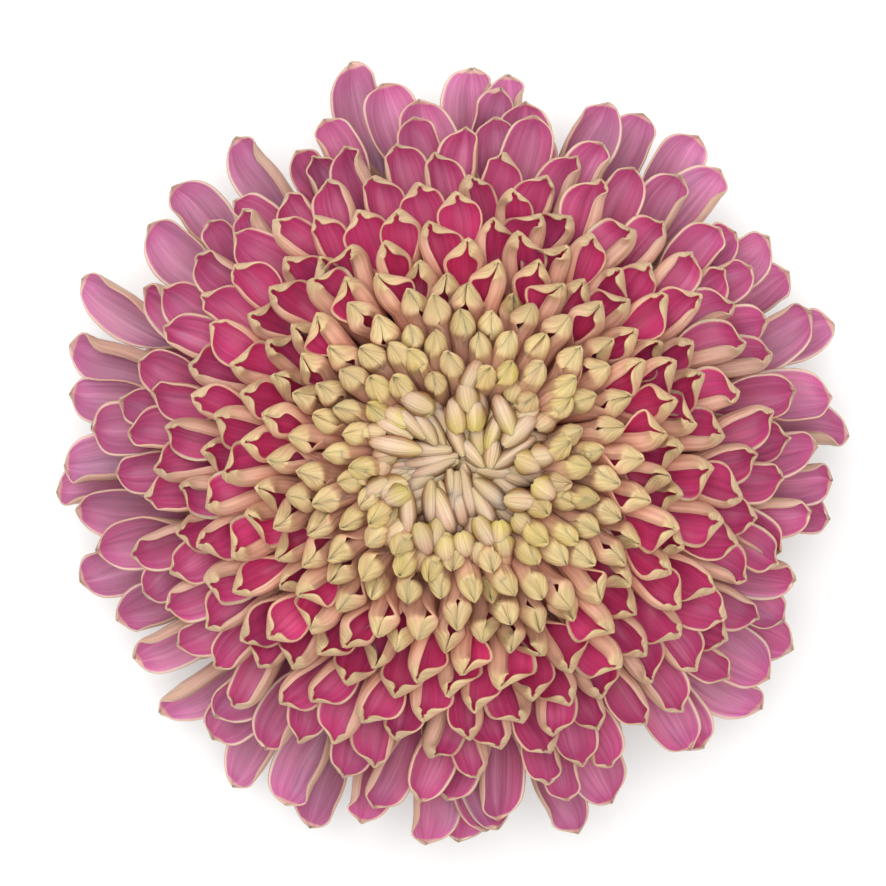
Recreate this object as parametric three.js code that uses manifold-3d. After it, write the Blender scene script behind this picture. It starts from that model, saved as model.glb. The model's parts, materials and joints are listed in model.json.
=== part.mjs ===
// A cut chrysanthemum bloom, face up on its short stub of stem. Its ray florets stand in a golden-angle spiral:
// a closed bud in the middle, then blunt fingertips, rolled tubes with eye-shaped mouths, and open spoons at the
// rim. Millimetres, +Z up the bloom, origin at the middle of the stem's cut end.
import * as THREE from 'three';
import { mergeVertices } from 'three/addons/utils/BufferGeometryUtils.js';
import Module from 'manifold-3d';

const wasm = await Module();
wasm.setup();
const { Manifold, Mesh: SolidMesh } = wasm;

// ---- driving dimensions ----
const CROWN_HEIGHT = 57.6; // top of the bud over the cut end
const RIM_HEIGHT = 14; // where the dome of tips would meet its own edge
const DOME_RADIUS = 64.5; // reach at which the dome of tips comes down to RIM_HEIGHT
const DOME_POWER = 0.9;
const BUD_RADIUS = 11.3;
const SPIRAL_REACH = 53.5; // the spiral's last tips; the rim florets lie beyond
const FLORETS_PER_MM = 4.4; // tips for each millimetre of reach outside the bud
const BUD_FLORETS = 30;
const LEAN = new THREE.Vector2(1.95, -1.6); // how far the crown stands off the stem's axis
const LEAN_CENTRE = new THREE.Vector3(0, 0, 18);
const LEAN_START = 14; // distance from LEAN_CENTRE at which the head begins to lean
const LEAN_FULL = 34;

const RECEPTACLE_RADIUS = 13;
const RECEPTACLE_EDGE = 16; // height of the receptacle where the outermost florets stand
const RECEPTACLE_RISE = 8; // its middle stands this much higher
const SEAM_GAP = 0.3; // clearance between neighbouring pieces
const CENTRE_REACH = 21; // tips of the last florets in the centre piece
const MIDDLE_REACH = 40; // tips of the last florets in the middle piece

const FLORET_WIDTH = 11.8; // of a ray floret spread flat, at its widest
const MIDRIB_THICKNESS = 1;
const FINISH_TOLERANCE = 0.16; // faces this close to one plane become one
const GOLDEN_ANGLE = Math.PI * (3 - Math.sqrt(5));

const STEM_RADIUS = 3.5;
const STEM_TOP = 6.7;
const STEM_RIBS = 8;
const RIB_DEPTH = 0.3;
const CALYX_TOP = 13.7;
const CALYX_RADIUS = 12;
const BRACT_ROWS = [
  { count: 10, foot: 8.6, radius: 6.2, length: 8.6, rise: 24 },
  { count: 10, foot: 9.6, radius: 8.0, length: 8.4, rise: 16 },
  { count: 10, foot: 10.7, radius: 9.8, length: 7.4, rise: 8 },
];
const BRACT_WIDTH = 3.9;
const BRACT_THICKNESS = 0.8;

// The rim florets: azimuth in degrees round the crown, and reach in millimetres.
const RIM = [
  [105.5, 61.9], [101.5, 58.2], [96.6, 55.2], [89.1, 59.1], [83.2, 58.6], [84.2, 56.4], [78.9, 54.9],
  [68.0, 57.9], [63.0, 59.0], [55.4, 60.4], [49.5, 57.9], [36.2, 56.8], [30.5, 57.2], [23.3, 56.2],
  [20.9, 59.5], [11.2, 56.4], [5.7, 57.9], [-2.7, 55.1], [-8.3, 55.9], [-17.7, 50.5], [-25.8, 54.3],
  [-29.2, 56.0], [-39.5, 58.4], [-49.3, 54.9], [-65.2, 55.5], [-73.0, 58.0], [-84.3, 53.2], [-85.6, 54.7],
  [-90.3, 57.0], [-94.9, 56.1], [-104.3, 54.6], [-111.9, 59.2], [-118.1, 57.5], [-124.3, 59.2],
  [-132.2, 55.8], [-137.3, 59.2], [-146.2, 56.5], [-155.0, 57.6], [-163.6, 59.6], [-167.0, 54.8],
  [-173.0, 57.9], [-176.2, 61.8], [-179.7, 60.2], [170.0, 59.1], [163.4, 62.0], [155.1, 63.6],
  [145.0, 58.5], [136.9, 61.2], [126.3, 59.4], [111.8, 55.5],
];
const RIM_PULL_REACH = 47.5; // past this reach a spiral floret stands in front of a rim floret
const RIM_PULL = THREE.MathUtils.degToRad(2.5);
const UNDER_FLORETS = 38;
const UNDER_REACH = [52, 41]; // first and last tips of the florets under the rim
const UNDER_TIP = [18.5, 0.7]; // their heights
const UNDER_END = [-14, -26]; // and the slopes they end at, in degrees

// How a floret's habit changes with the reach of its tip, in millimetres: [reach, value] pairs.
const ROLL_BY_REACH = [[24, 352], [32, 294], [40, 232], [48, 178], [57, 140], [66, 122]]; // degrees round
const END_SLOPE_BY_REACH = [[12, 52], [20, 38], [30, 19], [37, 8], [45, -3], [66, -14]]; // degrees over level
const HOOK_BY_REACH = [[12, 40], [30, 66], [45, 66], [66, 40]]; // degrees that the tip turns up
const HOOK_RADIUS = 2.4;
const SEED = 20260711;

// ---- small helpers ----
const { degToRad, clamp, lerp } = THREE.MathUtils;

function randomSource(seed) {
  let state = seed >>> 0;
  return () => {
    state = (state + 0x6d2b79f5) >>> 0;
    let mixed = Math.imul(state ^ (state >>> 15), state | 1);
    mixed ^= mixed + Math.imul(mixed ^ (mixed >>> 7), mixed | 61);
    return ((mixed ^ (mixed >>> 14)) >>> 0) / 4294967296;
  };
}

function solidFrom(points, faces) {
  const vertProperties = new Float32Array(points.flatMap((p) => [p.x, p.y, p.z]));
  return new Manifold(new SolidMesh({ numProp: 3, vertProperties, triVerts: new Uint32Array(faces.flat()) }));
}

function solidOfGeometry(geometry) {
  geometry.deleteAttribute('normal');
  geometry.deleteAttribute('uv');
  const merged = mergeVertices(geometry, 1e-4);
  return new Manifold(
    new SolidMesh({
      numProp: 3,
      vertProperties: merged.attributes.position.array,
      triVerts: new Uint32Array(merged.index.array),
    }),
  );
}

// A solid of revolution round Z from [radius, height] pairs that start and end on the axis, going up.
function turned(profile, sides) {
  const lathe = new THREE.LatheGeometry(profile.map(([r, z]) => new THREE.Vector2(r, z)), sides);
  return solidOfGeometry(lathe.rotateX(Math.PI / 2));
}

// Joins rings of point indices into a closed skin. A ring may repeat an index, where the skin runs to an edge.
function skinOf(rings) {
  const faces = [];
  const add = (a, b, c) => {
    if (a !== b && b !== c && a !== c) faces.push([a, b, c]);
  };
  for (let i = 0; i + 1 < rings.length; i++) {
    const near = rings[i];
    const far = rings[i + 1];
    near.forEach((a, k) => {
      const next = (k + 1) % near.length;
      add(a, near[next], far[next]);
      add(a, far[next], far[k]);
    });
  }
  const first = rings[0];
  for (let k = 1; k + 1 < first.length; k++) add(first[0], first[k + 1], first[k]);
  return faces;
}

// ---- the run of one floret, in the upright plane through the axis ----
const tipHeight = (reach) =>
  RIM_HEIGHT + (CROWN_HEIGHT - RIM_HEIGHT) * Math.max(0, 1 - (reach / DOME_RADIUS) ** 2) ** DOME_POWER;

function rootAt(share) {
  const radius = RECEPTACLE_RADIUS * Math.sqrt(Math.min(1, share));
  return new THREE.Vector2(radius, RECEPTACLE_EDGE + RECEPTACLE_RISE * (1 - share));
}

const heading = (angle) => new THREE.Vector2(Math.cos(angle), Math.sin(angle));

function byReach(table, reach) {
  const next = table.findIndex(([r]) => r > reach);
  if (next === 0) return table[0][1];
  if (next < 0) return table.at(-1)[1];
  const [r0, low] = table[next - 1];
  const [r1, high] = table[next];
  return lerp(low, high, (reach - r0) / (r1 - r0));
}

// An open floret: it rises from its root and arches out to the slope `end`, then its tip hooks up by `hook`.
function archedRun(root, tip, end, hook) {
  const turn = (angle) =>
    new THREE.Vector2(Math.sin(angle) - Math.sin(end), Math.cos(end) - Math.cos(angle)).multiplyScalar(HOOK_RADIUS);
  const furthest = turn(Math.min(end + hook, Math.max(end, Math.PI / 2))).x;
  const hookStart = new THREE.Vector2(tip.x - furthest, tip.y - turn(end + hook).y);
  const chord = hookStart.clone().sub(root);
  const leaving = 2 * Math.atan2(chord.y, chord.x) - end;
  const pull = chord.length() * 0.36;
  const body = new THREE.CubicBezierCurve(
    root,
    root.clone().addScaledVector(heading(leaving), pull),
    hookStart.clone().addScaledVector(heading(end), -pull),
    hookStart,
  );
  return (u, hooked = 0) => {
    const at = body.getPoint(u);
    const tangent = body.getTangent(u);
    const angle = Math.atan2(tangent.y, tangent.x) + hook * hooked;
    if (hooked) at.add(turn(end + hook * hooked));
    return { at, angle };
  };
}

// A bud floret: it rises, then lies over towards the middle.
function buddingRun(root, bulge, tip) {
  const body = new THREE.CubicBezierCurve(
    root,
    new THREE.Vector2(bulge + 0.6, 38),
    new THREE.Vector2(bulge + 2.2, tip.y + 1.2),
    tip,
  );
  return (u) => {
    const tangent = body.getTangent(u);
    const angle = Math.atan2(tangent.y, tangent.x);
    return { at: body.getPoint(u), angle: angle < -Math.PI / 2 ? angle + 2 * Math.PI : angle };
  };
}

// ---- solids of florets ----
// Places a section's points, given as across and up pairs, at one station of a floret's run.
function placeSection(section, { at, angle }, azimuth, roll) {
  const outward = new THREE.Vector3(Math.cos(azimuth), Math.sin(azimuth), 0);
  const across = new THREE.Vector3(-Math.sin(azimuth), Math.cos(azimuth), 0);
  const up = outward.clone().multiplyScalar(-Math.sin(angle)).setZ(Math.cos(angle));
  const centre = outward.multiplyScalar(at.x).setZ(at.y);
  return section.map(([x, y]) => {
    const turnedX = x * Math.cos(roll) - y * Math.sin(roll);
    const turnedY = x * Math.sin(roll) + y * Math.cos(roll);
    return centre.clone().addScaledVector(across, turnedX).addScaledVector(up, turnedY);
  });
}

// A closed finger has four ridges; `a` is half its width.
const fingerSection = (a) => [[0, 0], [a, a * 0.9], [0, a * 1.8], [-a, a * 0.9]];

function fingerSolid(run, stations, width, azimuth, roll) {
  const points = [];
  const rings = stations.map(({ u, hooked, girth, swirl = 0 }) => {
    const ring = placeSection(fingerSection((width / 2) * girth), run(u, hooked), azimuth + swirl, roll);
    return ring.map((p) => points.push(p) - 1);
  });
  const tip = points.length;
  const last = rings.at(-1);
  points.push(last.reduce((sum, i) => sum.add(points[i]), new THREE.Vector3()).multiplyScalar(1 / last.length));
  const end = stations.at(-1);
  const { angle } = run(end.u, end.hooked);
  const ahead = new THREE.Vector3(Math.cos(azimuth), Math.sin(azimuth), 0).multiplyScalar(Math.cos(angle));
  points[tip].addScaledVector(ahead.setZ(Math.sin(angle)), width * 0.22);
  return solidFrom(points, skinOf([...rings, last.map(() => tip)]));
}

// An open floret's section is a V, thickest along the midrib: its margins stand `rolled` round from there.
function spoonSection(width, rolled) {
  const radius = width / rolled;
  const x = radius * Math.sin(Math.min(rolled / 2, 1.95));
  const y = radius * (1 - Math.cos(rolled / 2));
  return [[0, 0], [x, y], [0, (MIDRIB_THICKNESS * Math.hypot(x, y)) / x], [-x, y]];
}

function spoonSolid(run, stations, width, azimuth, roll) {
  const points = [];
  const rings = stations.map(({ u, hooked, girth, rolled }) => {
    const ring = placeSection(spoonSection(width * girth, rolled), run(u, hooked), azimuth, roll);
    return ring.map((p) => points.push(p) - 1);
  });
  const [end] = placeSection([[0, MIDRIB_THICKNESS / 2]], run(1, 1), azimuth, roll);
  const tip = points.push(end) - 1;
  return solidFrom(points, skinOf([...rings, [tip, tip, tip, tip]]));
}

// ---- the whole set of florets ----
const spiralCount = BUD_FLORETS + Math.round((SPIRAL_REACH - BUD_RADIUS) * FLORETS_PER_MM);
const allTips = spiralCount + RIM.length;
const rimAzimuths = RIM.map(([azimuth]) => degToRad(azimuth));

// Turns an azimuth towards the nearest rim floret, so that the notches between them stay open.
function towardsRim(azimuth) {
  const offsets = rimAzimuths.map((rim) => Math.atan2(Math.sin(azimuth - rim), Math.cos(azimuth - rim)));
  const nearest = offsets.reduce((best, d) => (Math.abs(d) < Math.abs(best) ? d : best));
  return azimuth - nearest + clamp(nearest, -RIM_PULL, RIM_PULL);
}

const endSlopeAt = (reach) => degToRad(byReach(END_SLOPE_BY_REACH, reach));
const hookAt = (reach) => degToRad(byReach(HOOK_BY_REACH, reach));

const random = randomSource(SEED);
const jitter = (size) => (random() * 2 - 1) * size;

function budFloret(n) {
  const share = Math.sqrt((n + 0.5) / BUD_FLORETS);
  const bulge = 1.4 + 7.6 * share;
  const tip = new THREE.Vector2(0.3 + 2.2 * share, CROWN_HEIGHT - 0.8 - 1.6 * (1 - share));
  const run = buddingRun(rootAt(n / allTips), bulge, tip);
  const stations = [
    { u: 0.55, girth: 0.8 },
    { u: 0.82, girth: 1.0, swirl: degToRad(3) },
    { u: 0.98, girth: 0.6, swirl: degToRad(14) },
  ];
  return fingerSolid(run, stations, 3.1, n * GOLDEN_ANGLE + jitter(0.05), jitter(0.1));
}

function tubeFloret(n, reach) {
  const share = n / allTips;
  const tip = new THREE.Vector2(reach, tipHeight(reach) + jitter(0.8));
  const run = archedRun(rootAt(share), tip, endSlopeAt(reach), hookAt(reach));
  const width = lerp(3.5, 4.1, clamp((reach - BUD_RADIUS) / 12, 0, 1));
  const stations = [
    { u: 0.66, girth: 0.85 },
    { u: 0.9, girth: 1.0 },
    { u: 1, hooked: 0.7, girth: 0.75 },
  ];
  return fingerSolid(run, stations, width, n * GOLDEN_ANGLE + jitter(0.03), jitter(0.15));
}

function spoonFloret(share, azimuth, reach, height, fine) {
  const sunk = lerp(0.6, 0.34, clamp((reach - 40) / 14, 0, 1));
  const rolled = degToRad(byReach(ROLL_BY_REACH, reach));
  const run = archedRun(rootAt(share), new THREE.Vector2(reach, height), endSlopeAt(reach), hookAt(reach));
  const stations = [
    { u: sunk, girth: 0.5, rolled },
    { u: 0.84, girth: 1, rolled },
    { u: 1, hooked: 0.35, girth: 0.62, rolled: rolled * 0.9 },
  ];
  if (fine) stations.splice(2, 0, { u: 0.95, girth: 0.94, rolled });
  return spoonSolid(run, stations, FLORET_WIDTH, azimuth, jitter(0.15));
}

function underFloret(k) {
  const along = (k + 0.5) / UNDER_FLORETS;
  const reach = lerp(...UNDER_REACH, along);
  const turnedAzimuth = (allTips + k) * GOLDEN_ANGLE;
  const azimuth = reach > RIM_PULL_REACH ? towardsRim(turnedAzimuth) : turnedAzimuth;
  const root = new THREE.Vector2(RECEPTACLE_RADIUS - 2, RECEPTACLE_EDGE - 0.2);
  const tip = new THREE.Vector2(reach, lerp(...UNDER_TIP, along));
  const run = archedRun(root, tip, degToRad(lerp(...UNDER_END, along)), degToRad(20));
  const stations = [
    { u: lerp(0.3, 0.04, along), girth: 0.45, rolled: 1.6 },
    { u: 0.8, girth: 1, rolled: 1.6 },
    { u: 1, hooked: 0.3, girth: 0.6, rolled: 1.5 },
  ];
  return spoonSolid(run, stations, FLORET_WIDTH * 0.86, azimuth, jitter(0.1));
}

// ---- the seams between the pieces, and the core of each ----
// The seam lies along the run of the last floret inside it, moved outwards by `offset`.
function seamBody(reach, offset) {
  const share = (BUD_FLORETS + (reach - BUD_RADIUS) * FLORETS_PER_MM) / allTips;
  const root = rootAt(share);
  const run = archedRun(root, new THREE.Vector2(reach, tipHeight(reach)), endSlopeAt(reach), 0);
  const profile = [[0, root.y - offset], [root.x, root.y - offset]];
  for (const u of [0.2, 0.4, 0.6, 0.8, 1]) {
    const { at } = run(u);
    profile.push([at.x + offset, at.y - offset * 0.5]);
  }
  profile.push([reach + offset + 1, 70], [0, 70]);
  return turned(profile, 24);
}

const CENTRE_CORE = [
  [0, 20], [6, 20], [12, 30], [16, 39], [17.5, 46], [13, 48.5], [10, 48], [8.4, 51], [5.5, 54], [0, 55],
];
const MIDDLE_CORE = [[0, 17], [8.5, 17], [19, 25], [31, 35], [32, 37.5], [27, 42.5], [21, 46], [0, 46]];
const OUTER_CORE = [
  [0, 14], [12.2, 14], [20, 15.5], [29, 18.5], [34, 22.5], [36.5, 28], [36.5, 32], [33, 38], [0, 38],
];

// The largest body of a solid, with any hollow that the join sealed filled in.
function mainBody(solid) {
  return solid.simplify(FINISH_TOLERANCE).decompose().reduce((best, body) => (body.volume() > best.volume() ? body : best));
}

// ---- placing the florets in the three pieces ----
const centreParts = [turned(CENTRE_CORE, 16)];
const middleParts = [turned(MIDDLE_CORE, 20)];
const outerParts = [turned(OUTER_CORE, 24)];

for (let n = 0; n < spiralCount; n++) {
  if (n < BUD_FLORETS) {
    centreParts.push(budFloret(n));
    continue;
  }
  const reach = BUD_RADIUS + (n - BUD_FLORETS + 0.5) / FLORETS_PER_MM;
  if (reach < CENTRE_REACH) {
    centreParts.push(tubeFloret(n, reach));
    continue;
  }
  const inMiddle = reach < MIDDLE_REACH;
  // A floret's body lies inwards of its midrib, so the first ones past a seam stand a width further out.
  const past = reach - (inMiddle ? CENTRE_REACH : MIDDLE_REACH);
  if (past < 1) continue;
  const clear = Math.max(reach, (inMiddle ? CENTRE_REACH : MIDDLE_REACH) + 2.6);
  if (inMiddle && reach < 27) {
    middleParts.push(tubeFloret(n, clear));
    continue;
  }
  const turnedAzimuth = n * GOLDEN_ANGLE + jitter(0.03);
  const azimuth = clear > RIM_PULL_REACH ? towardsRim(turnedAzimuth) : turnedAzimuth;
  const floret = spoonFloret(n / allTips, azimuth, clear, tipHeight(clear) + jitter(0.8), false);
  (inMiddle ? middleParts : outerParts).push(floret);
}
RIM.forEach(([azimuth, reach], k) => {
  const share = (spiralCount + k) / allTips;
  outerParts.push(spoonFloret(share, degToRad(azimuth), reach, tipHeight(reach) + jitter(1), true));
});
for (let k = 0; k < UNDER_FLORETS; k++) outerParts.push(underFloret(k));

const half = SEAM_GAP / 2;
const centreSolid = mainBody(Manifold.union(centreParts).intersect(seamBody(CENTRE_REACH, -half)));
const middleSolid = mainBody(
  Manifold.union(middleParts).intersect(seamBody(MIDDLE_REACH, -half)).subtract(seamBody(CENTRE_REACH, half)),
);
const outerSolid = mainBody(Manifold.union(outerParts).subtract(seamBody(MIDDLE_REACH, half)));

// ---- involucre and stem ----
function bractSolid({ foot, radius, length, rise }, azimuth) {
  const slope = degToRad(rise);
  const root = new THREE.Vector2(radius - 2.4, foot);
  const tip = root.clone().addScaledVector(heading(slope), length + 2.4);
  const run = archedRun(root, tip, slope - degToRad(6), 0);
  const t = BRACT_THICKNESS;
  const points = [];
  const rings = [[0, 0.7], [0.6, 1], [0.86, 0.55]].map(([u, girth]) => {
    const w = (BRACT_WIDTH / 2) * girth;
    const section = [[0, -t], [w, 0], [-w, 0]];
    return placeSection(section, run(u), azimuth, 0).map((p) => points.push(p) - 1);
  });
  const [end] = placeSection([[0, 0]], run(1), azimuth, 0);
  const tipIndex = points.push(end) - 1;
  return solidFrom(points, skinOf([...rings, [tipIndex, tipIndex, tipIndex]]));
}

const calyxProfile = [
  [0, STEM_TOP + SEAM_GAP], [3.4, STEM_TOP + SEAM_GAP], [6.4, 8.1], [9.6, 9.9], [11.6, 12.0],
  [CALYX_RADIUS, CALYX_TOP], [0, CALYX_TOP],
];
const involucreParts = [turned(calyxProfile, 24)];
BRACT_ROWS.forEach((row, r) => {
  for (let k = 0; k < row.count; k++) {
    involucreParts.push(bractSolid(row, ((k + r / BRACT_ROWS.length) / row.count) * Math.PI * 2));
  }
});
const involucreSolid = mainBody(Manifold.union(involucreParts));

function stemGeometry() {
  const outline = new THREE.Shape();
  const steps = STEM_RIBS * 4;
  for (let k = 0; k < steps; k++) {
    const angle = (k / steps) * Math.PI * 2;
    const radius = STEM_RADIUS - RIB_DEPTH * (0.5 - 0.5 * Math.cos(angle * STEM_RIBS));
    outline[k ? 'lineTo' : 'moveTo'](radius * Math.cos(angle), radius * Math.sin(angle));
  }
  outline.closePath();
  return new THREE.ExtrudeGeometry(outline, { depth: STEM_TOP, bevelEnabled: false });
}

// ---- the finished group ----
// The whole head leans off the stem's axis, the more so the further a point is from the receptacle.
function leaned(solid) {
  const { vertProperties, triVerts } = solid.getMesh();
  const position = new Float32Array(vertProperties);
  const p = new THREE.Vector3();
  for (let i = 0; i < position.length; i += 3) {
    p.fromArray(position, i);
    const weight = clamp((p.distanceTo(LEAN_CENTRE) - LEAN_START) / (LEAN_FULL - LEAN_START), 0, 1);
    position[i] += LEAN.x * weight;
    position[i + 1] += LEAN.y * weight;
  }
  const geometry = new THREE.BufferGeometry();
  geometry.setAttribute('position', new THREE.BufferAttribute(position, 3));
  return geometry.setIndex(new THREE.BufferAttribute(new Uint32Array(triVerts), 1));
}

function piece(name, geometry, color, roughness) {
  const flat = geometry.index ? geometry.toNonIndexed() : geometry;
  flat.computeVertexNormals();
  const mesh = new THREE.Mesh(flat, new THREE.MeshStandardMaterial({ color, roughness, metalness: 0 }));
  mesh.name = name;
  return mesh;
}

const bloom = new THREE.Group();
bloom.add(
  piece('stem', stemGeometry(), '#7d8f4e', 0.7),
  piece('involucre', leaned(involucreSolid), '#71873f', 0.7),
  piece('outer_florets', leaned(outerSolid), '#b8588f', 0.6),
  piece('middle_florets', leaned(middleSolid), '#c98a93', 0.6),
  piece('centre_florets', leaned(centreSolid), '#e2cda0', 0.6),
);
export default bloom;
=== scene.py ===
# %% [markdown]
# # A chrysanthemum bloom, seen face on
#
# This notebook dresses a plain model of a cut chrysanthemum head. The plain model says where everything is: a
# short stem, a green cup of bracts, and three fused masses of florets. Here each floret becomes a thin rolled
# petal with its own colour, veins and edge. Everything is worked out in millimetres, and turned into metres
# when a mesh is made.

# %% Load the plain model
import json
import math
from functools import partial

import bpy
import numpy as np
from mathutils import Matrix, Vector
from mathutils.bvhtree import BVHTree

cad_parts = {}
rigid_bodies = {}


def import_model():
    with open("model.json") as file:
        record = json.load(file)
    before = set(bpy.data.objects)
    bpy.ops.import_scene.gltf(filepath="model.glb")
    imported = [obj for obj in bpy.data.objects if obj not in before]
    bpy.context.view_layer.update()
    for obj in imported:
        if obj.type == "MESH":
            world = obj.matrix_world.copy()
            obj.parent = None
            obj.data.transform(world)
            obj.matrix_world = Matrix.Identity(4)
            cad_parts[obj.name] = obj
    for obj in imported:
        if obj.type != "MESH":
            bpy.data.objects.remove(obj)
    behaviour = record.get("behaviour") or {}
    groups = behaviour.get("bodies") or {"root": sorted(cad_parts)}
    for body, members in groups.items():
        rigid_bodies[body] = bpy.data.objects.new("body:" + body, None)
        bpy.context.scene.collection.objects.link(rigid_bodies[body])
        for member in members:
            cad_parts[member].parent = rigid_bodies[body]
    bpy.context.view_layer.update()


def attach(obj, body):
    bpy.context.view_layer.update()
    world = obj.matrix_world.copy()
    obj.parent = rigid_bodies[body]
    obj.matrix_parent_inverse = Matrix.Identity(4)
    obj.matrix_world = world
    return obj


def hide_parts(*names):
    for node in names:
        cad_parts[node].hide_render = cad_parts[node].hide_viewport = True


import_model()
MM = 0.001

# %% [markdown]
# ## Small helpers
#
# Colours are easier to choose as hex values from a paint chart, but the renderer wants linear light, so one
# function turns them. Nodes could be drawn by hand in the editor. Here one function adds a node, sets it up
# and links it, so that a whole finish can be read from top to bottom.


# %% Colour and node helpers
def linear(hex_colour):
    """An sRGB hex colour such as "#E0BCA6" as linear RGBA."""
    channels = [int(hex_colour[i : i + 2], 16) / 255 for i in (1, 3, 5)]
    return tuple(c / 12.92 if c <= 0.04045 else ((c + 0.055) / 1.055) ** 2.4 for c in channels) + (1.0,)


def set_inputs(tree, node, inputs):
    """Sets a node's inputs to values or links them to sockets; each goes by its name or its number."""
    for key, value in inputs.items():
        if isinstance(value, bpy.types.NodeSocket):
            tree.links.new(value, node.inputs[key])
        else:
            node.inputs[key].default_value = value


def add_node(tree, kind, inputs=None, stops=(), **settings):
    """Adds a node with its settings, a ramp's stops and its inputs, and gives its outputs."""
    node = tree.nodes.new(kind)
    for name, value in settings.items():
        setattr(node, name, value)
    for k, (place, hex_colour) in enumerate(stops):
        stop = node.color_ramp.elements[k] if k < 2 else node.color_ramp.elements.new(place)
        stop.position = place
        stop.color = linear(hex_colour)
    set_inputs(tree, node, inputs or {})
    return node.outputs


# %% [markdown]
# ## How the florets stand
#
# A chrysanthemum makes its florets one after another, each turned 137.5 degrees from the last. That golden
# angle is what lays the spirals across the bloom. Counting from the middle, the share of florets already made
# tells where the next one is rooted on the small dome under them, and how far its tip reaches. They could be
# set out by hand, but a rule keeps them as even as growth does. Only the outermost ones are placed one by
# one, because they draw the bloom's outline.

# %% Sizes of the bloom, in mm
CROWN_HEIGHT = 57.6
RIM_HEIGHT = 14.0
DOME_RADIUS = 64.5
DOME_POWER = 0.9
RECEPTACLE_RADIUS = 13.0
RECEPTACLE_EDGE = 16.0
RECEPTACLE_RISE = 8.0
BUD_FLORETS = 46
# reach, and how many florets stand between the bud and there
COUNT_BY_REACH = [(11.3, 0), (18.0, 40), (26.0, 100), (53.5, 335)]
# the outermost florets: azimuth in degrees, and reach
RIM = [
    (105.9, 61.6), (101.7, 57.3), (96.6, 55.2), (88.5, 59.4), (82.7, 59.0), (84.2, 56.4), (80.0, 53.2),
    (68.0, 58.5), (61.9, 59.7), (54.2, 60.6), (48.3, 58.8), (36.2, 56.0), (29.8, 57.2), (23.3, 56.2),
    (20.9, 60.1), (10.4, 56.0), (4.7, 58.2), (-2.7, 55.1), (-8.3, 55.9), (-17.4, 48.8), (-26.2, 53.9),
    (-29.2, 56.0), (-39.5, 59.1), (-50.1, 55.3), (-65.7, 55.4), (-73.0, 58.0), (-84.3, 52.4), (-86.4, 53.6),
    (-90.3, 57.0), (-94.9, 56.1), (-106.4, 54.6), (-112.9, 60.1), (-117.6, 57.5), (-124.8, 59.3),
    (-132.2, 55.8), (-140.3, 59.6), (-149.2, 57.0), (-155.8, 57.6), (-163.3, 59.5), (-167.0, 54.8),
    (-173.0, 57.9), (-176.2, 62.4), (-179.7, 60.2), (170.0, 59.1), (162.8, 62.0), (154.3, 63.6),
    (143.1, 58.8), (135.8, 61.4), (124.7, 60.1), (111.8, 54.9), (174.8, 54.6), (40.6, 53.4),
    (115.9, 50.6), (151.2, 53.0), (-35.3, 55.8), (130.6, 52.6),
]
SPIRAL_COUNT = BUD_FLORETS + COUNT_BY_REACH[-1][1]
FACE_COUNT = SPIRAL_COUNT + len(RIM)
print(FACE_COUNT, "florets on the face,", len(RIM), "of them on the rim")


# %% Where each floret is rooted and where its tip ends
def look_up(table, at):
    """Reads a table of pairs, and goes straight from each pair to the next."""
    return float(np.interp(at, *zip(*table)))


def part_way(ends, share):
    return ends[0] + (ends[1] - ends[0]) * share


def tip_height(reach):
    return RIM_HEIGHT + (CROWN_HEIGHT - RIM_HEIGHT) * max(0.0, 1 - (reach / DOME_RADIUS) ** 2) ** DOME_POWER


def share_of(reach):
    """The share of the florets that is made before one reaches this far."""
    return min(1.0, (BUD_FLORETS + look_up(COUNT_BY_REACH, reach)) / FACE_COUNT)


def root_at(share):
    """How far from the axis and how high a floret is rooted."""
    share = min(1.0, share)
    return RECEPTACLE_RADIUS * math.sqrt(share), RECEPTACLE_EDGE + RECEPTACLE_RISE * (1 - share)


# %% [markdown]
# ## The shape of one floret
#
# A floret is a strap rolled into a tube at its foot. Near the tip its edges part in a V and the tube opens
# into a mouth, wider and wider towards the rim of the bloom, and the keel rises at the end like the bow of a
# boat. The strap could be sculpted, but a formula keeps hundreds of them alike: a curve for the midrib, and
# across it a strip that turns more or less far round. Two such skins, 0.4 mm apart, make a closed petal with
# a real edge.

# %% The midrib
MIDRIB_STEPS = 60
MIDRIB_PULL = 0.36
HOOK_STEPS = 40
HOOK_POWER = 1.5
# the strip across a hook turns up by this share only, or its tall margins would fold back on themselves
STRIP_UPTURN = 0.5
# handles of a midrib that lies over: out in bulges, up in heights, and back by a share of where it ends
LYING_FIRST = (1.05, 0.8)
LYING_SECOND = (1.5, 1.035)
LYING_BACK = 0.16


def bezier(first, second, third):
    """Places and slopes along a cubic curve that starts at (0, 0)."""
    u = np.linspace(0, 1, MIDRIB_STEPS)[:, None]
    places = 3 * (1 - u) ** 2 * u * first + 3 * (1 - u) * u * u * second + u**3 * third
    ahead = (1 - u) ** 2 * first + 2 * (1 - u) * u * (second - first) + u * u * (third - second)
    return places, np.unwrap(np.arctan2(ahead[:, 1], ahead[:, 0]))


def open_midrib(out, up, end, hook, hook_length):
    """Rises from (0, 0), arches out to the slope `end`, then curls up by `hook`. It reaches out to `out`."""
    end, hook = math.radians(end), math.radians(hook)
    share = (np.arange(HOOK_STEPS) + 0.5) / HOOK_STEPS
    angles = end + hook * share**HOOK_POWER
    curl = np.cumsum(np.stack([np.cos(angles), np.sin(angles)], axis=1), axis=0) * hook_length / HOOK_STEPS
    start = np.array([out - max(0.0, curl[:, 0].max()), up - curl[-1, 1]])
    leaving = 2 * math.atan2(start[1], start[0]) - end
    pull = math.hypot(*start) * MIDRIB_PULL
    first = pull * np.array([math.cos(leaving), math.sin(leaving)])
    second = start - pull * np.array([math.cos(end), math.sin(end)])
    places, slopes = bezier(first, second, start)
    facing = end + (angles - end) * STRIP_UPTURN
    return np.concatenate([places, start + curl]), np.concatenate([slopes, facing])


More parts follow.
